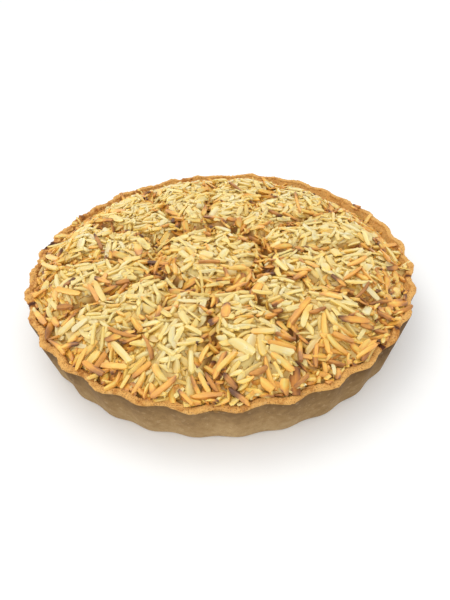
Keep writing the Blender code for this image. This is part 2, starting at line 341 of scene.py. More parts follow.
@dataclass(frozen=True)
class HeapForm:
    """The form of the almond heap over the apples, with the same sizes as the solid."""

    case: CaseForm = CaseForm()
    petals: int = 12
    centre: Pair = (-7.0 * MM, -9.5 * MM)
    heart_radius: float = 40.5 * MM
    heart_height: float = 11.0 * MM
    petal_start: float = 42.5 * MM
    petal_height: float = 10.5 * MM
    petal_nose: float = 17.0 * MM
    petal_tail: float = 33.0 * MM
    tail_clear: float = 5.0 * MM
    dome_power: float = 2.4
    dome_round: float = 0.75
    petal_variety: float = 0.16
    petal_layer: float = 21.0
    petal_row: float = 0.5
    petal_stride: float = 1.7
    crease_level: float = 27.5 * MM
    edge_blend: float = 12.0 * MM
    edge_sink: float = 0.9 * MM
    lumps: Lumps = Lumps(1.5 * MM, 85.0, 5.0)

    def dome(self, share: Array) -> Array:
        """Return the height of a flat-topped dome, 1 in its middle and 0 from its edge on."""
        inside = np.minimum(1.0, np.abs(share))
        return (1.0 - inside**self.dome_power) ** self.dome_round

    def rise(self, share: Array) -> Array:
        """Return a quarter dome that climbs from 0 to 1."""
        return self.dome(1.0 - np.clip(share, 0.0, 1.0))

    def to_wall(self, x: Array, y: Array) -> Array:
        """Return how far places lie inside the pastry's shoulder."""
        theta = np.arctan2(y, x)
        return self.case.inner(theta, self.case.shoulder(theta)) - np.hypot(x, y)

    def flower(self, x: Array, y: Array) -> tuple[Array, Array, Array]:
        """Return the flower of apples without its fall to the rim.

        Args:
            x: First coordinates.
            y: Second coordinates.

        Returns:
            How high each place lies on a petal and on the heart, from 0 to 1, and the petal's number.
        """
        dx, dy = x - self.centre[0], y - self.centre[1]
        rho, turn = np.hypot(dx, dy), np.arctan2(dy, dx) % TURN
        sector = TURN / self.petals
        index = np.floor(turn / sector)
        across = (turn - (index + 0.5) * sector) / (0.5 * sector)
        petal = self.dome(across) * self.rise((rho - self.petal_start) / self.petal_nose)
        return petal, self.dome(rho / self.heart_radius), index.astype(int)

    def relief(self, x: Array, y: Array) -> Array:
        """Return how high the apples push the almonds up.

        Args:
            x: First coordinates.
            y: Second coordinates.

        Returns:
            Heights over the creases.
        """
        petal, heart, index = self.flower(x, y)
        order = smooth_noise(self.petal_stride * np.arange(self.petals + 1), self.petal_row, self.petal_layer)
        factor = (1.0 + 2.0 * self.petal_variety * order)[index]
        tail = self.rise((self.to_wall(x, y) - self.tail_clear) / self.petal_tail)
        return np.maximum(self.petal_height * petal * factor * tail, self.heart_height * heart)

    def height(self, x: Array, y: Array) -> Array:
        """Return the mean height of the almonds over the apples.

        Args:
            x: First coordinates.
            y: Second coordinates.

        Returns:
            Heights above the base.
        """
        edge_level = self.case.shoulder(np.arctan2(y, x)) + self.edge_sink
        blend = np.clip(self.to_wall(x, y) / self.edge_blend, 0.0, 1.0)
        floor = edge_level + (self.crease_level - edge_level) * blend
        return floor + self.relief(x, y) + blend * self.lumps.at(x, y)


# ---------------------------------------------------------------- finishes


class Shader:
    """A node material in the making, round one Principled shader."""

    noise_middle = 0.5
    ramp_middle = 0.5
    mix_inputs = (0, 6, 7)
    mix_output = 2

    def __init__(self, name: str) -> None:
        """Start an empty material.

        Args:
            name: The material's name.
        """
        self.material = bpy.data.materials.new(name)
        self.material.use_nodes = True
        self.tree = self.material.node_tree
        self.principled = self.tree.nodes["Principled BSDF"]

    def set(self, **values: float | tuple) -> None:
        """Set sockets of the Principled shader, with underscores for spaces in their names."""
        for name, value in values.items():
            self.principled.inputs[name.replace("_", " ")].default_value = value

    def node(self, kind: str, values: dict | None = None, **settings: object) -> bpy.types.Node:
        """Add a node.

        Args:
            kind: Its type, without the ShaderNode in front.
            values: What its sockets are set to, or the sockets that feed them.
            settings: What its own properties are set to.

        Returns:
            The new node.
        """
        made = self.tree.nodes.new("ShaderNode" + kind)
        for name, value in settings.items():
            setattr(made, name, value)
        for key, value in (values or {}).items():
            if isinstance(value, bpy.types.NodeSocket):
                self.tree.links.new(value, made.inputs[key])
            else:
                made.inputs[key].default_value = value
        return made

    def place(self) -> Socket:
        """Return the socket that carries each point's place on the piece."""
        return self.node("TexCoord").outputs["Object"]

    def read(self, name: str) -> Socket:
        """Return the socket that carries the number that the points hold under a name."""
        return self.node("Attribute", attribute_name=name).outputs["Fac"]

    def math(self, operation: str, first: object, second: object, clamp: bool = False) -> Socket:
        """Return the result of a sum of two numbers or sockets, kept between 0 and 1 where it is clamped."""
        return self.node("Math", {0: first, 1: second}, operation=operation, use_clamp=clamp).outputs[0]

    def plus(self, base: object, share: float, part: Socket, clamp: bool = False) -> Socket:
        """Return a base with a share of another part added to it."""
        return self.math("ADD", base, self.math("MULTIPLY", part, share), clamp)

    def noise(self, vector: Socket, scale: float, detail: float = 3.0) -> Socket:
        """Return noise around 0.5, with a scale in lumps to the metre and some finer layers of detail."""
        return self.node("TexNoise", {"Vector": vector, "Scale": scale, "Detail": detail}).outputs[0]

    def level_noise(self, vector: Socket, scale: float, detail: float = 3.0) -> Socket:
        """Return the same noise around 0."""
        return self.math("SUBTRACT", self.noise(vector, scale, detail), self.noise_middle)

    def ramp(self, factor: Socket, stops: Stops) -> Socket:
        """Return a colour that follows a factor.

        Args:
            factor: The socket with the factor.
            stops: Places from 0 to 1, each with a screen colour.

        Returns:
            The socket that carries the colour.
        """
        made = self.node("ValToRGB", {0: factor})
        elements = made.color_ramp.elements
        while len(elements) < len(stops):
            elements.new(self.ramp_middle)
        for element, (place, colour) in zip(elements, stops):
            element.position = place
            element.color = linear(*colour)
        return made.outputs[0]

    def mix(self, blend: str, factor: Socket, first: Socket, second: Socket | tuple) -> Socket:
        """Return two colours mixed, with as much of the second as the factor says."""
        values = dict(zip(self.mix_inputs, (factor, first, second)))
        return self.node("Mix", values, data_type="RGBA", blend_type=blend).outputs[self.mix_output]

    def feed(self, name: str, socket: Socket) -> None:
        """Lead a socket into the Principled shader."""
        self.tree.links.new(socket, self.principled.inputs[name])

    def bump(self, height: Socket, distance: float) -> None:
        """Roughen the surface by a height from 0 to 1, where 1 stands out by a distance in metres."""
        made = self.node("Bump", {"Height": height, "Distance": distance, "Strength": 1.0})
        self.feed("Normal", made.outputs[0])


@dataclass(frozen=True)
class AlmondFinish:
    """Almond from pale through golden to scorched by its toast value, with warm painted shade where its
    points lie deep in the heap.
    """

    name: str
    roughness: float
    gloss: float
    coat: float
    flesh: float
    stops: Stops = (
        (0.00, (216, 206, 167)),
        (0.16, (219, 203, 136)),
        (0.34, (226, 195, 100)),
        (0.50, (227, 172, 77)),
        (0.66, (213, 152, 76)),
        (0.82, (170, 116, 66)),
        (1.00, (101, 67, 45)),
    )
    streak_stretch: Triple = (120.0, 1100.0, 1100.0)
    streak_detail: float = 4.0
    streak_share: float = 0.25
    blotch_scale: float = 330.0
    blotch_share: float = 0.20
    shade: Colour = (234, 204, 132)
    # Warm painted shade, multiplied in where a pale sliver's points lie deep in the heap.
    deep_shade_colour: Colour = (244, 211, 126)
    coat_roughness: float = 0.20
    flesh_reach: Triple = (1.9 * MM, 1.8 * MM, 1.7 * MM)
    bump: float = 0.10 * MM

    def material(self) -> bpy.types.Material:
        """Make the finish.

        Returns:
            A node material.
        """
        shader = Shader(self.name)
        toast, tone, deep = (shader.read(name) for name in ("toast", "tone", "deep"))
        grain = shader.node("Attribute", attribute_name="grain").outputs["Vector"]
        along = shader.node("Mapping", {"Vector": grain, "Scale": self.streak_stretch}).outputs[0]
        roasted = shader.plus(toast, self.streak_share, shader.level_noise(along, 1.0, self.streak_detail))
        blotch = shader.level_noise(grain, self.blotch_scale)
        roasted = shader.plus(roasted, self.blotch_share, blotch, clamp=True)
        colour = shader.mix("MULTIPLY", tone, shader.ramp(roasted, self.stops), linear(*self.shade))
        # Warm painted shade where points lie deep in the heap, most on the paler slivers.
        deep_shade = shader.math("MULTIPLY", deep, shader.math("SUBTRACT", 1.0, toast, clamp=True))
        shader.feed("Base Color", shader.mix("MULTIPLY", deep_shade, colour, linear(*self.deep_shade_colour)))
        shader.set(Roughness=self.roughness, Specular_IOR_Level=self.gloss)
        shader.set(Coat_Weight=self.coat, Coat_Roughness=self.coat_roughness)
        shader.set(Subsurface_Weight=self.flesh, Subsurface_Scale=1.0, Subsurface_Radius=self.flesh_reach)
        shader.principled.subsurface_method = "BURLEY"
        shader.bump(shader.noise(along, 1.0, self.streak_detail), self.bump)
        return shader.material


@dataclass(frozen=True)
class PastryFinish:
    """Baked shortcrust: matt, crumbly, pale at the wall and golden at the rim."""

    name: str = "shortcrust"
    stops: Stops = (
        (0.00, (189, 160, 116)),
        (0.16, (166, 135, 91)),
        (0.36, (133, 103, 66)),
        (0.48, (196, 150, 84)),
        (0.64, (221, 171, 98)),
        (0.84, (178, 118, 54)),
        (1.00, (78, 44, 28)),
    )
    specks: Stops = ((0.30, (168, 130, 94)), (0.47, (255, 255, 255)), (0.72, (255, 246, 226)))
    blotch_scale: float = 46.0
    blotch_share: float = 0.36
    mottle_scale: float = 260.0
    mottle_share: float = 0.34
    mottle_detail: float = 4.0
    crumb_scale: float = 1500.0
    crumb_detail: float = 2.0
    flour: Colour = (222, 198, 156)
    flour_scale: float = 380.0
    flour_start: float = 0.62
    flour_climb: float = 4.0
    flour_most: float = 0.12
    # Painted shade: the colour that darkens the wall at its sides and under the rim.
    painted_shade: Colour = (163, 150, 123)
    bump: float = 0.30 * MM
    wall_grit: float = 0.15
    mottle_relief: float = 0.5
    roughness: float = 0.78
    gloss: float = 0.18

    def material(self) -> bpy.types.Material:
        """Make the finish.

        Returns:
            A node material.
        """
        shader = Shader(self.name)
        place = shader.place()
        bake, crumble, painted_shade = (shader.read(name) for name in ("bake", "crumble", "painted_shade"))
        blotch = shader.level_noise(place, self.blotch_scale, self.mottle_detail)
        mottle = shader.level_noise(place, self.mottle_scale, self.mottle_detail)
        crumb = shader.noise(place, self.crumb_scale, self.crumb_detail)
        browned = shader.plus(bake, self.blotch_share, blotch)
        browned = shader.plus(browned, self.mottle_share, mottle, clamp=True)
        # Painted shade darkens the wall at its sides and under the rim.
        colour = shader.mix("MULTIPLY", painted_shade, shader.ramp(browned, self.stops), linear(*self.painted_shade))
        colour = shader.mix("MULTIPLY", crumble, colour, shader.ramp(crumb, self.specks))
        dust = shader.math("SUBTRACT", shader.noise(place, self.flour_scale), self.flour_start)
        dust = shader.math("MULTIPLY", dust, self.flour_climb, clamp=True)
        dusted = shader.math("MINIMUM", dust, self.flour_most)
        shader.feed("Base Color", shader.mix("MIX", dusted, colour, linear(*self.flour)))
        shader.set(Roughness=self.roughness, Specular_IOR_Level=self.gloss)
        grit = shader.math("MULTIPLY", crumb, shader.math("ADD", crumble, self.wall_grit))
        shader.bump(shader.plus(grit, self.mottle_relief, mottle), self.bump)
        return shader.material


@dataclass(frozen=True)
class FillingFinish:
    """Baked custard and apple juice between the almonds: glossy, tan to dark brown."""

    name: str = "baked_custard"
    stops: Stops = (
        (0.15, (146, 102, 50)),
        (0.35, (188, 140, 70)),
        (0.60, (226, 190, 108)),
        (0.85, (246, 224, 146)),
    )
    blotch_scale: float = 120.0
    blotch_detail: float = 5.0
    blotch_share: float = 0.5
    rich_share: float = 0.6
    bubble_scale: float = 900.0
    bump: float = 0.25 * MM
    roughness: float = 0.45
    gloss: float = 0.35
    coat: float = 0.1
    coat_roughness: float = 0.25

    def material(self) -> bpy.types.Material:
        """Make the finish.

        Returns:
            A node material.
        """
        shader = Shader(self.name)
        place = shader.place()
        blotch = shader.noise(place, self.blotch_scale, self.blotch_detail)
        # Paler on the mounds, with painted shade darkening the creases.
        rich = shader.math("MULTIPLY", shader.read("rich"), self.rich_share)
        shader.feed("Base Color", shader.ramp(shader.plus(rich, self.blotch_share, blotch), self.stops))
        shader.set(Roughness=self.roughness, Specular_IOR_Level=self.gloss)
        shader.set(Coat_Weight=self.coat, Coat_Roughness=self.coat_roughness)
        shader.bump(shader.noise(place, self.bubble_scale), self.bump)
        return shader.material


@dataclass(frozen=True)
class AppleFinish:
    """Glazed baked apple: wet, yellow and a little see-through."""

    name: str = "baked_apple"
    stops: Stops = (
        (0.30, (206, 160, 78)),
        (0.55, (240, 206, 112)),
        (0.75, (250, 228, 150)),
    )
    fibre_scale: float = 420.0
    fibre_detail: float = 4.0
    roughness: float = 0.28
    coat: float = 0.5
    coat_roughness: float = 0.12
    flesh: float = 0.3
    flesh_reach: Triple = (3.0 * MM, 2.0 * MM, 0.8 * MM)
    bump: float = 0.2 * MM

    def material(self) -> bpy.types.Material:
        """Make the finish.

        Returns:
            A node material.
        """
        shader = Shader(self.name)
        fibre = shader.noise(shader.place(), self.fibre_scale, self.fibre_detail)
        shader.feed("Base Color", shader.ramp(fibre, self.stops))
        shader.set(Roughness=self.roughness, Coat_Weight=self.coat, Coat_Roughness=self.coat_roughness)
        shader.set(Subsurface_Weight=self.flesh, Subsurface_Radius=self.flesh_reach)
        shader.bump(fibre, self.bump)
        return shader.material


@dataclass(frozen=True)
class FloorFinish:
    """A plain pale studio floor with the faintest grain."""

    name: str = "studio_floor"
    stops: Stops = ((0.4, (240, 240, 239)), (0.6, (243, 243, 242)))
    grain_scale: float = 3.0
    roughness: float = 0.9
    gloss: float = 0.1

    def material(self) -> bpy.types.Material:
        """Make the finish.

        Returns:
            A node material.
        """
        shader = Shader(self.name)
        grain = shader.noise(shader.place(), self.grain_scale)
        shader.feed("Base Color", shader.ramp(grain, self.stops))
        shader.set(Roughness=self.roughness, Specular_IOR_Level=self.gloss)
        return shader.material


# ---------------------------------------------------------------- pastry case


@dataclass
class PastryCase:
    """The fluted case with its crumbly rim, scorch marks and floury wall.

    A size of crumb is its lumps to the metre and its height. A scorch is its direction and its width in
    degrees, and how much it browns the rim.
    """

    form: CaseForm = CaseForm()
    columns_per_flute: int = 44
    base_shares: tuple[float, ...] = (0.25, 0.55, 0.85)
    foot_steps: int = 4
    wall_steps: int = 12
    edge_band: float = 0.3 * MM
    lip_steps: int = 18
    slope_steps: int = 9
    crumbs: tuple[Pair, ...] = ((150.0, 1.6 * MM), (330.0, 2.6 * MM), (760.0, 1.3 * MM))
    crumb_layer: float = 31.0
    crumb_crease: float = 0.12
    even_crag: float = 0.55
    back_crag: float = 0.40
    left_crag: float = 1.20
    left_extra: float = 1.8 * MM
    left_place: float = math.radians(162.0)
    left_width: float = math.radians(42.0)
    chip_scale: float = 95.0
    chip_layer: float = 3.0
    chip_line: Pair = (0.16, 0.34)
    chip_depth: float = 1.6 * MM
    chip_shares: Pair = (0.5, 0.6)
    top_line: Pair = (0.9, 1.0)
    edge_line: Pair = (0.2, 0.9)
    wall_dimple: float = 0.16 * MM
    wall_dimple_scale: float = 120.0
    base_relief: float = 0.25 * MM
    scorches: tuple[Triple, ...] = (
        (170.7, 2.6, 0.42),
        (-159.0, 1.0, 0.45),
        (-48.0, 0.55, 0.50),
        (-16.2, 0.8, 0.32),
        (-40.3, 0.8, 0.30),
        (103.0, 2.2, 0.22),
        (151.0, 1.8, 0.25),
    )
    # The outer wall darkens from its foot towards the rim.
    wall_darkening: Pair = (0.06, 0.30)
    wall_darkening_power: float = 1.6
    inner_bake: float = 0.40
    base_bake: float = 0.10
    lip_bake: float = 0.62
    # Painted shade: the rim is browned more at the front, which faces away from the light.
    front_rim_shade: float = 0.05
    golden_line: Pair = (0.2, 1.0)
    scorch_line: Pair = (0.5, 1.0)
    scorch_height: Pair = (0.85, 0.97)
    # Painted shade in the crevices between the rim's crumbs.
    crevice_painted_shade: float = 0.16
    crease_depth: float = 0.5 * MM
    wall_crumble: float = 0.25
    pole_value: float = 0.3
    # Painted shade of the wall: an even part, both sides, more at the right, and under the rim.
    painted_shade_even: float = 0.08
    painted_shade_side: float = 0.72
    painted_shade_right: float = 0.18
    painted_shade_under_rim: float = 0.4
    slope_lipness: float = 0.8
    slope_sink: float = 1.0 * MM
    finish: PastryFinish = PastryFinish()

    def profile(self, theta: Array) -> tuple[Array, ...]:
        """Return the rings of the case, from the middle of the base round the rim to the floor.

        Args:
            theta: The directions of the columns.

        Returns:
            The radius and height of every point, how much each belongs to the lip, and how much it faces out.
        """
        form = self.form
        rim, zero = form.rim(theta), np.zeros_like(theta)
        foot = form.outer(theta, zero) - form.foot_round
        rows = [(share * foot, zero, 0.0, 0.0) for share in self.base_shares]
        for step in range(self.foot_steps):
            turn = 0.5 * math.pi * step / self.foot_steps
            z = zero + form.foot_round * (1.0 - math.cos(turn))
            r = form.outer(theta, z) - form.foot_round * (1.0 - math.sin(turn))
            rows.append((r, z, 0.0, math.sin(turn)))
        lip = rim - form.lip_rise
        for step in range(self.wall_steps):
            z = form.foot_round + (lip - form.foot_round) * step / self.wall_steps
            rows.append((form.outer(theta, z), z, 0.0, 1.0))
        rows.append((form.outer(theta, lip - self.edge_band), lip - self.edge_band, 0.0, 1.0))
        extra = self.left_extra * self.leftness(theta)
        thick = form.wall_at_rim + extra
        middle = form.outer(theta, lip) - 0.5 * thick
        for step in range(self.lip_steps + 1):
            turn = math.pi * step / self.lip_steps
            cos, sin = math.cos(turn), math.sin(turn)
            out = math.copysign(abs(cos) ** form.lip_squareness, cos)
            r = middle + 0.5 * thick * out
            rows.append((r, lip + form.lip_rise * sin**form.lip_squareness, 1.0, out))
        shoulder = form.shoulder(theta)
        for step in range(1, self.slope_steps + 1):
            z = lip + (shoulder - self.slope_sink - lip) * step / self.slope_steps
            inside = form.inner(theta, z) - extra * (1.0 - step / self.slope_steps)
            rows.append((inside, z, self.slope_lipness, -1.0))
        floor = zero + form.floor
        rows.append((form.inner(theta, floor), floor, 0.0, -1.0))
        radius = np.array([row[0] for row in rows])
        height = np.array([row[1] for row in rows])
        lipness = np.array([row[2] for row in rows])[:, None] + zero
        outward = np.array([row[3] for row in rows])[:, None] + zero
        return radius, height, lipness, outward

    def crumble(self, points: Array) -> Array:
        """Return how far the crumbs of the rim stand out at many points.

        Args:
            points: One row for each.

        Returns:
            Distances around 0, rounded outward and creased between the crumbs.
        """
        total = np.zeros(len(points))
        for order, (scale, height) in enumerate(self.crumbs):
            x, y, z = (points * scale).T
            lumps = smooth_noise(x, y, z + self.crumb_layer * order)
            total += height * (lumps if order == 0 else np.abs(lumps) - self.crumb_crease)
        return total

    def leftness(self, theta: Array) -> Array:
        """Return how near each direction is to the rim's craggy left, from 0 to 1."""
        return nearness(theta, self.left_place, self.left_width)

    def crag(self, theta: Array) -> Array:
        """Return how rough the rim is in each direction, most at the left."""
        even = self.even_crag + self.back_crag * np.maximum(0.0, np.sin(theta))
        return even + self.left_crag * self.leftness(theta)

    def bake(self, theta: Array, height: Array, lipness: Array, outward: Array) -> Array:
        """Return how brown the pastry is at every point, with painted shade at the front of the rim.

        Args:
            theta: Directions of the columns.
            height: Heights of the points.
            lipness: How much each belongs to the lip.
            outward: How much each faces out.

        Returns:
            Values from 0, pale, to 1, burnt.
        """
        share = np.clip(height / self.form.rim(theta), 0.0, 1.0)
        # The outer wall darkens towards the rim.
        foot, climb = self.wall_darkening
        wall = np.where(outward > 0.0, foot + climb * share**self.wall_darkening_power, self.inner_bake)
        under = np.where(height <= 0.0, self.base_bake, 0.0)
        # Painted shade at the front of the rim, the side away from the light.
        golden = self.lip_bake + self.front_rim_shade * np.maximum(0.0, -np.sin(theta))
        bake = wall + under + (golden - wall) * soft_step(lipness, *self.golden_line)
        scorched = soft_step(lipness, *self.scorch_line) * soft_step(share, *self.scorch_height)
        for degrees, width, depth in self.scorches:
            near = nearness(theta, math.radians(degrees), math.radians(width))
            bake = bake + depth * near * scorched
        return bake

    def painted_shade(self, theta: Array, height: Array, lipness: Array, outward: Array) -> Array:
        """Return how much painted shade darkens the wall at its sides, most at the right, and under the rim.

        Args:
            theta: Directions of the columns.
            height: Heights of the points.
            lipness: How much each belongs to the lip.
            outward: How much each faces out.

        Returns:
            Values from 0 to 1.
        """
        side = self.painted_shade_even + self.painted_shade_side * np.abs(np.cos(theta)) + self.painted_shade_right * np.cos(theta)
        grey = side + self.painted_shade_under_rim * (height / self.form.rim_height) ** 2
        return np.clip(grey * (outward > 0.0) * (1.0 - soft_step(lipness, 0.0, 1.0)), 0.0, 1.0)

    def build(self) -> Piece:
        """Build the case.

        Returns:
            The finished piece.
        """
        columns = self.form.flutes * self.columns_per_flute
        theta = TURN * np.arange(columns) / columns
        radius, height, lipness, outward = self.profile(theta)
        rings = len(radius)
        cos, sin = np.cos(theta), np.sin(theta)
        points = np.stack([(radius * cos).ravel(), (radius * sin).ravel(), height.ravel()], -1)
        crag = self.crag(theta)
        crumbs = self.crumble(points).reshape(radius.shape) * crag
        x, y, z = (points * self.wall_dimple_scale).T
        dimples = smooth_noise(x, y, z).reshape(radius.shape)
        chips = ring_noise(theta, self.chip_scale * self.form.rim_radius, self.chip_layer)
        chipped = self.chip_depth * crag * soft_step(chips, *self.chip_line)
        rough = crumbs * lipness
        push = rough - self.wall_dimple * (0.5 - dimples) * (1.0 - lipness) * (outward > 0.0)
        radius = radius + push * np.sign(outward)
        on_lip = soft_step(lipness, *self.top_line)
        on_top = on_lip * (1.0 - np.abs(outward))
        edge = on_lip * soft_step(outward, *self.edge_line)
        top_share, edge_share = self.chip_shares
        height = height + rough * on_top - chipped * (top_share * on_top + edge_share * edge)
        radius = radius - edge_share * chipped * edge
        base = np.arange(rings)[:, None] < len(self.base_shares)
        height = height + np.where(base, self.base_relief * (0.5 + dimples), 0.0)
        rows = np.stack([radius * cos, radius * sin, height], -1).reshape(-1, 3)
        poles = np.array([[0.0, 0.0, 0.5 * self.base_relief], [0.0, 0.0, self.form.floor]])
        faces = ring_faces(rings, columns)
        faces += cap_faces(0, columns, len(rows), False)
        faces += cap_faces(rings - 1, columns, len(rows) + 1, True)
        piece = make_mesh("baked_pastry_case", np.vstack([rows, poles]), faces)
        bake = self.bake(theta, height, lipness, outward)
        # Painted shade: the crevices between the crumbs are browned.
        bake = bake + self.crevice_painted_shade * soft_step(-crumbs, 0.0, self.crease_depth) * lipness
        crumble = self.wall_crumble + (1.0 - self.wall_crumble) * lipness
        set_value(piece, "bake", np.append(bake.ravel(), [self.pole_value] * 2))
        set_value(piece, "crumble", np.append(crumble.ravel(), [self.pole_value] * 2))
        # Painted shade at the wall's sides and under the rim.
        painted_shade = self.painted_shade(theta, height, lipness, outward)
        set_value(piece, "painted_shade", np.append(painted_shade.ravel(), [0.0, 0.0]))
        piece.data.materials.append(self.finish.material())
        return piece


# ---------------------------------------------------------------- filling


class HeightGrid:
    """The top of the tart so far, as heights on a square grid."""

    sliver_shares = (0.96, 0.46, 0.42)
    least_weight = 1e-6

    def __init__(self, reach: float, cell: float) -> None:
        """Lay out the grid.

        Args:
            reach: How far it goes each way from the middle.
            cell: The spacing of its points.
        """
        side = np.arange(-reach, reach + cell, cell)
        self.reach, self.cell = reach, cell
        self.x, self.y = np.meshgrid(side, side, indexing="ij")
        self.z = np.zeros_like(self.x)

    def at(self, x: Array, y: Array) -> Array:
        """Return the height at places, between the grid's points.

        Args:
            x: First coordinates.
            y: Second coordinates.

        Returns:
            The heights.
        """
        i, j = (x + self.reach) / self.cell, (y + self.reach) / self.cell
        a = np.clip(i.astype(int), 0, self.z.shape[0] - 2)
        b = np.clip(j.astype(int), 0, self.z.shape[1] - 2)
        u, v = i - a, j - b
        near = self.z[a, b] * (1 - v) + self.z[a, b + 1] * v
        far = self.z[a + 1, b] * (1 - v) + self.z[a + 1, b + 1] * v
        return near * (1 - u) + far * u

    def smoothed(self, reach: float) -> HeightGrid:
        """Return a copy that is evened out over a reach, from the places on the tart alone.

        Args:
            reach: How far the evening reaches.

        Returns:
            The new grid.
        """
        weight = (self.z > 0.0).astype(float)
        total = self.z * weight
        for _ in range(int(2.0 * (reach / self.cell) ** 2)):
            for axis in (0, 1):
                total = 0.5 * total + 0.25 * (np.roll(total, 1, axis) + np.roll(total, -1, axis))
                weight = 0.5 * weight + 0.25 * (np.roll(weight, 1, axis) + np.roll(weight, -1, axis))
        even = HeightGrid(self.reach, self.cell)
        even.z = total / np.maximum(weight, self.least_weight)
        return even

    def cover(self, sliver: Sliver) -> None:
        """Raise the grid to the top of a sliver that has been laid.

        Args:
            sliver: The sliver.
        """
        long_share, wide_share, thick_share = self.sliver_shares
        half = 0.5 * sliver.length
        low = ((sliver.place[:2] - half + self.reach) / self.cell).astype(int)
        high = ((sliver.place[:2] + half + self.reach) / self.cell).astype(int) + 2
        window = (slice(max(0, low[0]), high[0]), slice(max(0, low[1]), high[1]))
        dx, dy = self.x[window] - sliver.place[0], self.y[window] - sliver.place[1]
        cos, sin = math.cos(sliver.yaw), math.sin(sliver.yaw)
        along, across = dx * cos + dy * sin, dy * cos - dx * sin
        share = np.minimum(1.0, np.abs(along) / half)
        across = across - sliver.bow * sliver.length * (1.0 - share**2)
        inside = (np.abs(along) < half * long_share) & (np.abs(across) < wide_share * sliver.width)
        top = sliver.place[2] + math.tan(sliver.pitch) * along + thick_share * sliver.thickness
        self.z[window] = np.where(inside, np.maximum(self.z[window], top), self.z[window])


